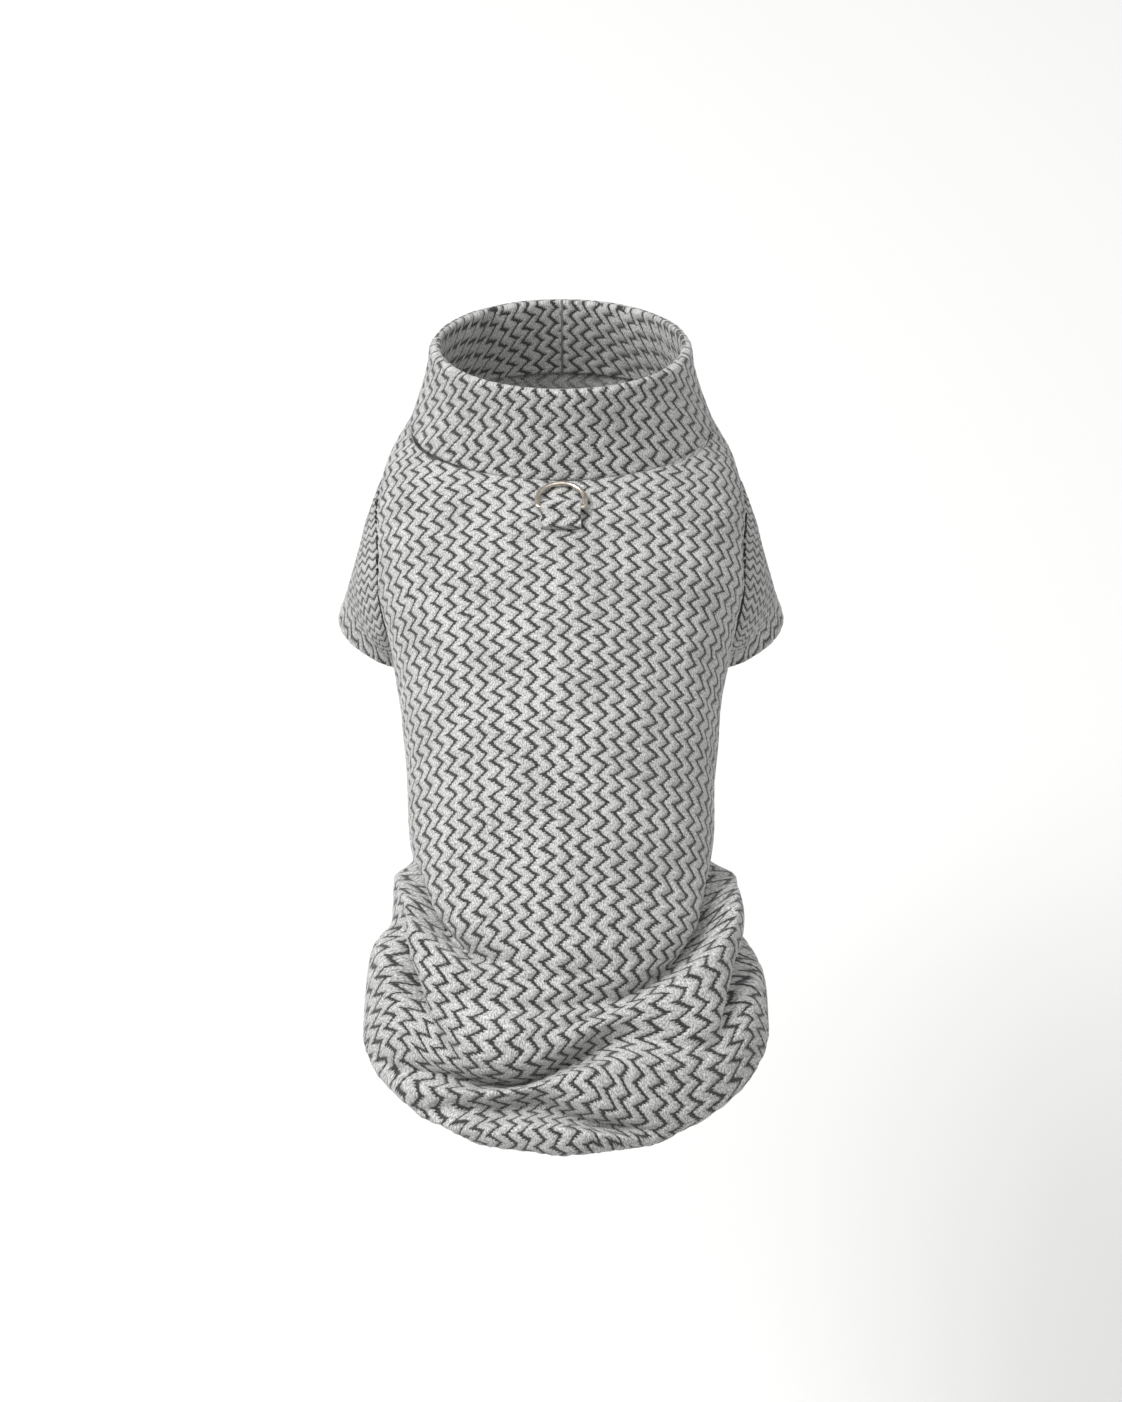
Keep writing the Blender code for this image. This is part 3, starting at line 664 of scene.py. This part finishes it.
def sewn_panel(name, columns, centre, widest, creases):
    """The back (centre 0) or the belly (centre 180), which reaches so many degrees to either side."""
    def where(across, down):
        row = fine_row(down)
        round_deg = centre + (widest - SIDE_GAP_ROUND - notch(row)) * (2 * across - 1)
        along = row_along(row, round_deg)
        return round_deg, along, panel_cloth(centre, round_deg, along)

    def place(across, down, depth):
        round_deg, along, cloth = where(across, down)
        to_side = (0.5 - np.abs(across - 0.5)) * 2 * widest
        sunk = SEAM_SINK * np.exp(-to_side / SEAM_SOFT) + NECK_SINK * np.exp(-along / SEAM_SOFT)
        shape = creased(cloth, creases) + uneven(cloth, *PANEL_UNEVEN)
        return torso_wall(round_deg, along, shape - sunk + np.where(depth > 0.5, -WALL, puffed(cloth)))

    return panel(name, columns, sum(FINE_ROWS), place, lambda across, down: where(across, down)[2])


# ------------ collar
COLLAR_ROWS_OUT, COLLAR_ROWS_RIM, COLLAR_ROWS_IN = 34, 9, 24
COLLAR_COLUMNS = 336


def collar_profile():
    """Heights and depths round the collar's section: outer face, rolled rim, inner face, foot."""
    radius = COLLAR_WALL / 2
    low, high = NECK_GAP + COLLAR_FOOT, COLLAR_HEIGHT - radius
    outer = [(h, 0.0) for h in np.linspace(low, high, COLLAR_ROWS_OUT)]
    rim = arc((high, radius), radius, -90, 90, COLLAR_ROWS_RIM)[1:-1]
    inner = [(h, COLLAR_WALL) for h in np.linspace(high, low, COLLAR_ROWS_IN)]
    foot = [(NECK_GAP, COLLAR_WALL - COLLAR_FOOT), (NECK_GAP, COLLAR_FOOT)]
    return outer + rim + inner + foot


def collar_cloth(turn, height, depth):
    """The collar on the flat cloth: its lines run on from those of the back."""
    seam = on_cloth(turn, 0 * turn)
    over = height + depth * (depth > COLLAR_WALL / 2)
    rim = 2 * COLLAR_HEIGHT
    down = np.where(depth > COLLAR_WALL / 2, -(rim - over), -over)
    return np.stack([seam[..., 0], seam[..., 1] + down], axis=-1)


def collar_place(turn, height, depth):
    cloth = collar_cloth(turn, height, depth)
    joined = bell(180 - np.abs(turn), SEAM_SOFT)
    relief = puffed(cloth) + uneven(cloth, *COLLAR_UNEVEN) - SEAM_SINK * joined
    outer = np.clip(1 - 2 * depth / COLLAR_WALL, -1, 1)
    return collar_wall(turn, height, depth - relief * outer)


# ------------ sleeves
SLEEVE_ROWS_OUT, SLEEVE_ROWS_IN = 72, 30
SLEEVE_COLUMNS = 168
EDGE_SHARE = 0.012                  # the rounded edge of the cuff, as a share of the sleeve's length
BAND_GROOVE, BAND_GROOVE_HALF = 0.6, 0.018  # groove over the band's stitching: mm deep, share wide
GATHER, GATHER_BEHIND = 0.15, 0.45  # ribs of the gathers at the armhole, in mm, and more of it behind
GATHER_TURN, GATHER_REACH = 115.0, 40.0     # where they are highest, in degrees either way
GATHER_RUN, GATHER_PITCH = 0.2, 0.06        # how far they run down, and their pitch, as shares
SLEEVE_SEAM_SOFT = 0.03             # the share over which the cloth sinks at the armhole
DRAGS_PAST, DRAGS_FADE = 0.1, 0.15  # the creases end so far past the stitching, and fade over so much
SLEEVE_LINING = 0.5                 # the lining shows this share of the relief


def sleeve_profile():
    """Shares of the sleeve's length and depths: outer face, rounded edge, inner face."""
    outer = [(t, 0.0) for t in np.linspace(0, 1, SLEEVE_ROWS_OUT)]
    edge = [(1.0 + EDGE_SHARE * math.sin(a), WALL / 2 - WALL / 2 * math.cos(a))
            for a in np.radians((45, 90, 135))]
    inner = [(t, WALL) for t in np.linspace(1, 0, SLEEVE_ROWS_IN)]
    return outer + edge + inner


TURN_STEP, SHARE_STEP = 3.0, 0.02


def flat_sleeve():
    """Two tables over turn and share: how far round from the sleeve's top, and how far down it."""
    turn, share = np.meshgrid(np.arange(-180.0, 181.0, TURN_STEP), np.linspace(0, 1.02, 52), indexing="ij")
    points = sleeve(turn, share)
    out = lengths(points, 0)
    return out - out[len(out) // 2], lengths(points, 1)


FLAT_SLEEVE = flat_sleeve()


def sleeve_cloth(turn, share, depth):
    """The sleeve on the flat cloth. Its turned band at the cuff is cut across the knit's lines."""
    out, down = (between(table, (turn + 180) / TURN_STEP, share / SHARE_STEP) for table in FLAT_SLEEVE)
    band = share > CUFF_BAND + 1e-6
    return np.stack([np.where(band, down, out * SLEEVE_DRAWN), np.where(band, out, down)], axis=-1)


def sleeve_flat(turn, share):
    """How far round the sleeve and down it a point of its body lies, for the creases."""
    cloth = sleeve_cloth(turn, np.minimum(share, CUFF_BAND), 0)
    return cloth / (SLEEVE_DRAWN, 1.0)


def sleeve_place(turn, share, depth):
    """The sleeve with its creases, the groove along its turned band, and its seam under the arm."""
    cloth = sleeve_cloth(turn, share, depth)
    body = sleeve_flat(turn, share)
    groove = BAND_GROOVE * bell(share - CUFF_BAND, BAND_GROOVE_HALF)
    gather = GATHER + GATHER_BEHIND * bell(np.abs(turn) - GATHER_TURN, GATHER_REACH)
    ribs = gather * np.exp(-share / GATHER_RUN) * np.cos(2 * math.pi * share / GATHER_PITCH)
    sunk = np.exp(-share / SLEEVE_SEAM_SOFT) + bell(180 - np.abs(turn), SEAM_SOFT)
    fade = smoothstep((CUFF_BAND + DRAGS_PAST - share) / DRAGS_FADE)
    relief = (puffed(cloth) + fade * creased(body, SLEEVE_CREASES) + ribs
              + uneven(body, *SLEEVE_UNEVEN) - groove - SEAM_SINK * sunk)
    return sleeve_wall(turn, share, depth - np.where(depth > WALL / 2, SLEEVE_LINING * relief, relief))


def mirrored(place):
    return lambda *where: place(*where) * np.array((-1.0, 1.0, 1.0))


# ------------ tab
BAR_ABOVE = SEAM_GAP + TAB_LAYER + BAR_CLEARANCE + WIRE / 2
LOOP_RADIUS = WIRE / 2 + BAR_CLEARANCE + TAB_LAYER
CHANNEL_RADIUS = WIRE / 2 + BAR_CLEARANCE


def above_back(x, along, above):
    """A point above the back panel, at a distance x from the centre line."""
    round_deg = np.degrees(np.arcsin(x / section("half", along)))
    return torso_wall(round_deg, along, above)


def tab_outline():
    """Outer outline of the folded tab round the bar: tail end, loop, then back under the tail."""
    tail = TAB_END_ALONG - TAB_BAR_ALONG
    loop = arc((0, 0), LOOP_RADIUS, TAB_LOOP_FROM, TAB_LOOP_TO, TAB_LOOP_POINTS)
    top = [(tail, 2 * TAB_LAYER - LOOP_RADIUS)] + [(tail * share, above) for share, above in TAB_TAIL_TOP]
    under = [(tail * share, -LOOP_RADIUS) for share in (1 / 3, 2 / 3, 1)]
    return top + loop + under


def rounded(outline, finer):
    """A closed outline with more points, on a smooth curve through the given ones."""
    points = np.array(outline)
    count = len(points)
    at = np.arange(count * finer) / finer
    i, t = at.astype(int), (at % 1)[:, None]
    a, b, c, d = (points[(i + k) % count] for k in (-1, 0, 1, 2))
    bent = curve(t, b, (c - a) / 2, c, (d - b) / 2)
    near = np.minimum(np.linalg.norm(bent - points[0], axis=1), np.linalg.norm(bent - points[-1], axis=1))
    straight = b + (c - b) * t
    return np.where(near[:, None] < 2 * TAB_LAYER, straight, bent)


TAB_OUTLINE = rounded(tab_outline(), TAB_FINER)
TAB_RUN = lengths(np.concatenate([TAB_OUTLINE, TAB_OUTLINE[:1]]), 0)


def tab_profile():
    """Places across the tab and its depth: the outside from edge to edge, and back in the channel."""
    inset = np.array(TAB_EDGE_STEPS) * TAB_EDGE
    inner = TAB_HALF_WIDTH - 1.5 * TAB_EDGE
    across = np.concatenate([inset - TAB_HALF_WIDTH, np.linspace(-inner, inner, TAB_COLUMNS),
                             (TAB_HALF_WIDTH - inset)[::-1]])
    return [(x, 0.0) for x in across] + [(x, 1.0) for x in across[::-1]]


def tab_lay(turn, x, depth):
    """The tab on the flat cloth: its side edges carry on from its face."""
    out = x + np.sign(x) * depth * LOOP_RADIUS + LINE_SPACING / 2
    return np.stack([out, TAB_RUN[numbered(turn, len(TAB_OUTLINE))]], axis=-1)


def tab_place(turn, x, depth):
    """The tab: its outline swept across its width, with the channel for the bar left open."""
    outline = TAB_OUTLINE[numbered(turn, len(TAB_OUTLINE)) % len(TAB_OUTLINE)]
    # The side edges are rounded, and the knit is raised as on the rest, but not flat underneath.
    past = np.clip((np.abs(x) - TAB_HALF_WIDTH + TAB_EDGE) / TAB_EDGE, 0, 1)
    swell = TAB_PUFF * (1 - past) * puffed(tab_lay(turn, x, depth))
    sunk = TAB_EDGE * (1 - np.sqrt(1 - past ** 2)) - swell
    sunk = sunk * (outline[:, 1] > 0.1 - LOOP_RADIUS)
    outer = outline - unit(outline) * sunk[:, None]
    place = np.where(depth[:, None] > 0.5, unit(outline) * CHANNEL_RADIUS, outer)
    along, above = TAB_BAR_ALONG + place[:, 0], BAR_ABOVE + place[:, 1]
    straight = above_back(0.0 * x, along, above) + np.stack([x, 0 * x, 0 * x], axis=-1)
    tail = smoothstep((place[:, 0] - LOOP_RADIUS) / (TAB_END_ALONG - TAB_BAR_ALONG - LOOP_RADIUS))
    return straight + (above_back(x, along, above) - straight) * tail[:, None]


# ------------ ring
def ring_path():
    """Centre line of the D-ring's wire, in the ring's own plane: x, and distance from the bar."""
    half, height = (RING_WIDTH - WIRE) / 2, RING_HEIGHT - WIRE
    corner = arc((half - RING_CORNER, RING_CORNER), RING_CORNER, -90, 0, CORNER_POINTS)
    bow = arc((0, height - half), half, 0, 180, BOW_POINTS)
    other = [(-x, y) for x, y in reversed(corner)]
    return np.array(corner + bow + other)


RING_PATH = ring_path()


def ring_place(turn, around, depth):
    """The wire's round section, swept along its line. The ring lies forward on the back."""
    number = numbered(turn, len(RING_PATH)) % len(RING_PATH)
    bar = above_back(0.0, TAB_BAR_ALONG, BAR_ABOVE)
    reach = RING_HEIGHT - WIRE
    rest = above_back(0.0, TAB_BAR_ALONG - reach, RING_REST_ABOVE + WIRE / 2)
    axes = np.stack([np.array((1.0, 0.0, 0.0)), unit(rest - bar)])
    ahead = unit(np.roll(RING_PATH, -1, axis=0) - np.roll(RING_PATH, 1, axis=0))
    aside = np.stack([ahead[:, 1], -ahead[:, 0]], axis=-1)[number]
    angle = np.radians(around)[:, None]
    flat = RING_PATH[number] + WIRE / 2 * np.cos(angle) * aside
    return bar + flat @ axes + WIRE / 2 * np.sin(angle) * np.cross(axes[0], axes[1])


def ring_lay(turn, around, depth):
    """Round the wire, and along it."""
    return np.stack([around / 360 * math.pi * WIRE, turn / 360 * 3 * RING_WIDTH], axis=-1)


# ------------ stitches of the armhole seam
STITCH_LENGTH, STITCH_RADIUS, STITCH_SPACING = 3.0, 0.62, 2.7
STITCH_ABOVE = 0.05
STITCH_STRAY, STITCH_SLANT = 1.5, 0.9       # how unevenly they are placed, in degrees, and turned
STITCH_LEAST, STITCH_VARIES = 0.5, 0.8      # the shares of that length they have at least, and vary by
STITCH_SEEDS = {1: 11, -1: 12}
ARMHOLE_ROUND = 200.0               # length of the armhole seam


def add_stitches(name, side):
    """The dark floats that show raggedly along an armhole seam. side is 1 on the right, -1 on the left."""
    rng = np.random.default_rng(STITCH_SEEDS[side])
    bm = bmesh.new()
    for turn in np.arange(0, 360, 360 * STITCH_SPACING / ARMHOLE_ROUND):
        turn = turn + STITCH_STRAY * rng.standard_normal()
        point, ahead = (torso_wall(*armhole(np.array(t)), STITCH_ABOVE) for t in (turn, turn + 1))
        length = STITCH_LENGTH * (STITCH_LEAST + STITCH_VARIES * rng.random())
        outward = Vector(torso_form(*armhole(np.array(turn))))
        slant = Matrix.Rotation(STITCH_SLANT * rng.standard_normal(), 4, outward)
        along = Vector(ahead - point).normalized()
        turned = (slant @ along).to_track_quat("Z", "X").to_matrix().to_4x4()
        size = Matrix.Diagonal((STITCH_RADIUS, STITCH_RADIUS, length / 2, 1))
        where = Matrix.Translation(Vector((point - WITHERS) * (side, 1, 1)))
        if side < 0:
            turned = Matrix.Diagonal((-1, 1, 1, 1)) @ turned
        bmesh.ops.create_uvsphere(bm, u_segments=8, v_segments=6, radius=1,
                                  matrix=Matrix.Scale(MM, 4) @ where @ turned @ size)
    bmesh.ops.recalc_face_normals(bm, faces=bm.faces)
    return finished(bm, name)


# ------------ materials
def linear(hex_colour):
    """An sRGB hex colour as the linear colour that Blender's sockets take."""
    channels = [int(hex_colour[i:i + 2], 16) / 255 for i in (1, 3, 5)]
    return tuple(c / 12.92 if c <= 0.04045 else ((c + 0.055) / 1.055) ** 2.4 for c in channels) + (1,)


def feed(tree, fed, inputs):
    """Give each socket of a node a value, or link it to the output that feeds it.

    inputs has the sockets by name or number, or is a row with one for each socket in turn.
    """
    for socket, value in inputs.items() if isinstance(inputs, dict) else enumerate(inputs):
        if isinstance(value, bpy.types.NodeSocket):
            tree.links.new(value, fed.inputs[socket])
        else:
            fed.inputs[socket].default_value = value


def node(tree, kind, inputs, output=0, stops=(), **settings):
    """Add a node, and give back one of its outputs. stops are a ramp's places and colours.

    kind is the type of node, and for maths its operation after a space.
    """
    kind, _, operation = kind.partition(" ")
    added = tree.nodes.new("ShaderNode" + kind)
    if operation:
        added.operation = operation
    for name, value in settings.items():
        setattr(added, name, value)
    feed(tree, added, inputs)
    for number, (position, colour) in enumerate(stops):
        stop = added.color_ramp.elements[number] if number < 2 else added.color_ramp.elements.new(position)
        stop.position = position
        stop.color = linear(colour)
    return added.outputs[output]


def shading(name):
    """A new material, with what adds a node to it, and what feeds its shader."""
    material = bpy.data.materials.new(name)
    material.use_nodes = True
    tree = material.node_tree
    return material, partial(node, tree), partial(feed, tree, tree.nodes["Principled BSDF"])


ON_CLOTH = {"noise_dimensions": "2D"}
EASED = {"interpolation_type": "SMOOTHSTEP"}

# How the knit is drawn, in mm. A scale is a number of grains to the millimetre.
DRIFT_SCALE, DRIFT = 0.09, (2.6, 2.2, 0)    # the rows wander, as knit does when it is worn
BEAD_SWELL = 0.13                           # each stitch of a line is a bead, wider in its middle
CORNER_DOT = 0.14                           # the stitch at a corner is wider still,
DOT_FROM, DOT_TO = 0.3, 0.5                 # from here on to the corner, in shares of half a zigzag
RAGGED_SCALE, RAGGED = 1.1, 0.8             # the edges of a line are ragged
LINE_FADES = (0.24, -0.2)                   # from outside a line's edge to inside it
FACE_SCALE = (1.9, 0.95, 1)                 # the pale face has upright grains, 0.55 by 1.1 mm
PATCH_SCALE, PATCH_TONE = 0.05, 0.16        # and larger patches that are lighter or darker
SWELL_FROM, SWELL_TO = 0.1, 1.7             # beside a line, the face swells up over this, and is painted lighter by so much, a painted highlight on the swell
SWELL_PAINTED_HIGHLIGHT = 0.09                           # and is lighter by so much
FACE_TONE = 0.14                            # the whole face is darker by so much
BUMP_GRAIN, BUMP, BUMP_HEIGHT = 0.45, 0.9, 0.0006


def zigzag_knit(name, contrast=1.0):
    """Cotton jacquard knit: a soft pale face, with dark stitches that sink in along each zigzag."""
    material, add, feed_shader = shading(name)
    half, stitch = ZIGZAG_LENGTH / 2, ZIGZAG_LENGTH / STITCH_ROWS
    place = add("UVMap", {}, uv_map="cloth")
    drift = add("TexNoise", {"Vector": place, "Scale": DRIFT_SCALE, "Detail": 1.0}, "Color", **ON_CLOTH)
    drift = add("VectorMath SUBTRACT", (drift, (0.5, 0.5, 0.5)))
    moved = add("VectorMath MULTIPLY_ADD", (drift, DRIFT, place))
    out = add("SeparateXYZ", {0: moved}, "X")
    down = add("SeparateXYZ", {0: moved}, "Y")
    # Each row of stitches steps to the side of the one before.
    row = add("Math ADD", (down, -stitch / 2))
    row = add("Math SNAP", (row, stitch))
    row = add("Math ADD", (row, stitch / 2))
    row = add("Mix", {"Factor": STEPPED, 2: down, 3: row}, 0)
    # Where a point lies by the nearest zigzag line. Whole zigzags keep what is swung positive.
    swing = add("Math ADD", (row, WHOLE_ZIGZAGS * ZIGZAG_LENGTH))
    swing = add("Math PINGPONG", (swing, half))
    side = add("Math MULTIPLY_ADD", (swing, -ZIGZAG_SWING / half, out))
    side = add("Math WRAP", (side, LINE_SPACING / 2, -LINE_SPACING / 2))
    away = add("Math ABSOLUTE", (side,))
    away = add("Math MULTIPLY", (away, math.cos(math.atan(ZIGZAG_SWING / half))))
    # Each line: beaded stitches, double in the strokes that run down to the right.
    turn = add("Math FLOORED_MODULO", (down, ZIGZAG_LENGTH))
    double = add("Math LESS_THAN", (turn, half))
    bead = add("Math MULTIPLY", (down, 2 * math.pi / stitch))
    bead = add("Math SINE", (bead,))
    ragged = add("TexNoise", {"Vector": place, "Scale": RAGGED_SCALE, "Detail": 2.0}, "Fac", **ON_CLOTH)
    corner = add("Math SUBTRACT", (swing, half / 2))
    corner = add("Math ABSOLUTE", (corner,))
    corner = add("MapRange", {"Value": corner, "From Min": DOT_FROM * half, "From Max": DOT_TO * half},
                 **EASED)
    width = LINE_HALF - RAGGED / 2
    for share, more in ((double, DOUBLE_MORE), (bead, BEAD_SWELL), (corner, CORNER_DOT), (ragged, RAGGED)):
        width = add("Math MULTIPLY_ADD", (share, more, width))
    edge = add("Math SUBTRACT", (away, width))
    # The short floats that stick out past the left corners.
    tail = add("Math ADD", (side, CORNER_TAIL / 2))
    tail = add("Math ABSOLUTE", (tail,))
    tail = add("Math SUBTRACT", (tail, CORNER_TAIL / 2 + TAIL_INTO))
    beyond = add("Math SUBTRACT", (swing, TAIL_HALF))
    tail = add("Math MAXIMUM", (tail, beyond))
    edge = add("Math MINIMUM", (edge, tail))
    dark = add("MapRange", {"Value": edge, "From Min": LINE_FADES[0], "From Max": LINE_FADES[1]}, **EASED)
    # The face: its grains, and where it swells up between the lines, with a painted highlight on the swell.
    grains = add("VectorMath MULTIPLY", (place, FACE_SCALE))
    grain = add("TexNoise", {"Vector": grains, "Scale": 1.0, "Detail": 2.0, "Roughness": 0.6}, "Fac",
                **ON_CLOTH)
    patch = add("TexNoise", {"Vector": place, "Scale": PATCH_SCALE, "Detail": 2.0}, "Fac", **ON_CLOTH)
    swell = add("MapRange", {"Value": away, "From Min": SWELL_FROM, "From Max": SWELL_TO}, **EASED)
    tone = add("Math MULTIPLY_ADD", (patch, PATCH_TONE, grain))
    # Painted highlight: the face is painted lighter where it swells up between the lines.
    tone = add("Math MULTIPLY_ADD", (swell, SWELL_PAINTED_HIGHLIGHT, tone))
    tone = add("Math SUBTRACT", (tone, FACE_TONE))
    face = add("ValToRGB", {0: tone}, stops=((0.30, "#7C7C7B"), (0.70, "#D8D8D6"), (0.5, "#AAAAA8")))
    thread = add("ValToRGB", {0: grain}, stops=((0.3, "#161617"), (0.7, "#434344")))
    share = add("Math MULTIPLY", (dark, contrast))
    colour = add("Mix", {"Factor": share, 6: face, 7: thread}, 2, data_type="RGBA")
    height = add("Math MULTIPLY_ADD", (grain, BUMP_GRAIN, swell))
    bump = add("Bump", {"Height": height, "Strength": BUMP, "Distance": BUMP_HEIGHT})
    feed_shader({"Base Color": colour, "Roughness": 0.92, "Sheen Weight": 0.25, "Sheen Roughness": 0.6,
                 "Specular IOR Level": 0.2, "Normal": bump})
    return material


def dark_floats():
    """Dark cotton yarn, where the floats of the knit show in a seam: quite matt, with a fine twist."""
    material, add, feed_shader = shading("dark_cotton_yarn")
    place = add("TexCoord", {}, "Object")
    twist = add("TexNoise", {"Vector": place, "Scale": 1800.0, "Detail": 2.0}, "Fac")
    colour = add("ValToRGB", {0: twist}, stops=((0.3, "#19191A"), (0.7, "#4A4A4B")))
    feed_shader({"Base Color": colour, "Roughness": 0.95})
    return material


def nickel_wire():
    """Nickel-plated steel wire, drawn and barrelled: warm grey, with a soft even gloss."""
    material, add, feed_shader = shading("nickel_plated_wire")
    place = add("TexCoord", {}, "Object")
    wear = add("TexNoise", {"Vector": place, "Scale": 700.0, "Detail": 3.0}, "Fac")
    colour = add("ValToRGB", {0: wear}, stops=((0.35, "#CDC2B3"), (0.65, "#E6DED2")))
    rough = add("MapRange", {"Value": wear, "To Min": 0.2, "To Max": 0.3})
    feed_shader({"Base Color": colour, "Roughness": rough, "Metallic": 1.0})
    return material


def studio_paper():
    """Matt white background paper."""
    material, _, feed_shader = shading("studio_paper")
    feed_shader({"Base Color": linear("#F4F4F3"), "Roughness": 0.9})
    return material


# ------------ camera, floor and light
CAMERA_AIM = (0.0, -107.0, 0.0)     # from the centre back of the neck seam
CAMERA_HEIGHT = 58.0                # above the horizon
CAMERA_DISTANCE = 1150.0
CAMERA_LENS = 94.46
FLOOR_BELOW = 600.0                 # the shirt is shown in the air, well above the floor
FLOOR_HALF = 12                     # in metres
LIGHTS = (                          # name, place and size in metres, power in watts
    ("key", (-1.35, 0.3, 1.85), 1.4, 52),
    ("fill", (0.5, -0.4, 2.1), 2.4, 14),
)
WORLD_STRENGTH = 0.5


def aimed(name, data, place, direction):
    """A camera or a light at a place, looking in a direction."""
    obj = bpy.data.objects.new(name, data)
    obj.location = place
    obj.rotation_mode = "QUATERNION"
    obj.rotation_quaternion = Vector(direction).to_track_quat("-Z", "Y")
    bpy.context.collection.objects.link(obj)
    return obj


def add_camera():
    height = math.radians(CAMERA_HEIGHT)
    back = np.array((0, -math.cos(height), math.sin(height)))
    camera = bpy.data.cameras.new("camera")
    camera.sensor_fit = "HORIZONTAL"
    camera.sensor_width = 36
    camera.lens = CAMERA_LENS
    place = (np.array(CAMERA_AIM) + CAMERA_DISTANCE * back - WITHERS) * MM
    bpy.context.scene.camera = aimed("camera", camera, place, -back)


def add_floor(material):
    bm = bmesh.new()
    bmesh.ops.create_grid(bm, x_segments=1, y_segments=1, size=FLOOR_HALF)
    bmesh.ops.translate(bm, verts=bm.verts, vec=(0, 0, -FLOOR_BELOW * MM))
    floor = finished(bm, "floor")
    floor.data.materials.append(material)


def add_light(name, place, size, power):
    light = bpy.data.lights.new(name, "AREA")
    light.shape = "DISK"
    light.size = size
    light.energy = power
    aimed(name, light, place, -Vector(place))


def add_world(strength):
    world = bpy.data.worlds.new("studio")
    world.use_nodes = True
    sky = world.node_tree.nodes["Background"]
    sky.inputs["Color"].default_value = (1, 1, 1, 1)
    sky.inputs["Strength"].default_value = strength
    bpy.context.scene.world = world


# ------------ the scene
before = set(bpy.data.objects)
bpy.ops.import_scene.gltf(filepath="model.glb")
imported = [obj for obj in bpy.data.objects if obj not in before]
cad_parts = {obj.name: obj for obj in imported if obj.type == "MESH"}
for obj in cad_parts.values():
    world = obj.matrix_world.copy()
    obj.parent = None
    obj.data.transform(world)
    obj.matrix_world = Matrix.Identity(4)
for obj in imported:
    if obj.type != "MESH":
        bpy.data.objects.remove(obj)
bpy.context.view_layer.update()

knit = zigzag_knit("zigzag_jacquard_knit")
reverse = zigzag_knit("zigzag_jacquard_reverse", contrast=0.35)
nickel = nickel_wire()
floats = dark_floats()

back = sewn_panel("back_cloth", BACK_COLUMNS, 0, SIDE_SEAM_ROUND, BACK_CREASES)
belly = sewn_panel("belly_cloth", BELLY_COLUMNS, 180, 180 - SIDE_SEAM_ROUND, BELLY_CREASES)
right, left = (tube(name, SLEEVE_COLUMNS, sleeve_profile(), WALL / 2, place, sleeve_cloth) for name, place in
               (("sleeve_right_cloth", sleeve_place), ("sleeve_left_cloth", mirrored(sleeve_place))))
collar = tube("collar_cloth", COLLAR_COLUMNS, collar_profile(), COLLAR_WALL, collar_place, collar_cloth)
tab = tube("tab_cloth", len(TAB_OUTLINE), tab_profile(), 2.0, tab_place, tab_lay)

for cloth, cad_node, flat, held in (
        (back, "back_panel", (0.25, 0.34), "gathered"),
        (belly, "belly_panel", (0.17, 0.24), "hung"),
        (right, "sleeve_right", (0.19, 0.075), "hung"),
        (left, "sleeve_left", (0.19, 0.075), "hung"),
        (collar, "collar", (0.38, 0.037), "folded"),
        (tab, "ring_tab", (0.016, 0.026), "folded")):
    cloth.data.materials.append(knit)
    cloth.data.materials.append(reverse)
    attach(cloth, "shirt")
    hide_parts(cad_node)

for side, where in ((1, "right"), (-1, "left")):
    stitches = add_stitches("armhole_stitches_" + where, side)
    stitches.data.materials.append(floats)
    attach(stitches, "shirt")

wire = [(360 * i / WIRE_SIDES, 0.0) for i in range(WIRE_SIDES)]
ring = tube("ring_wire", len(RING_PATH), wire, 1.0, ring_place, ring_lay)
ring.data.materials.append(nickel)
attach(ring, "ring")
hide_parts("d_ring")

add_camera()
add_floor(studio_paper())
for light in LIGHTS:
    add_light(*light)
add_world(WORLD_STRENGTH)
bpy.context.scene.view_settings.view_transform = "Standard"
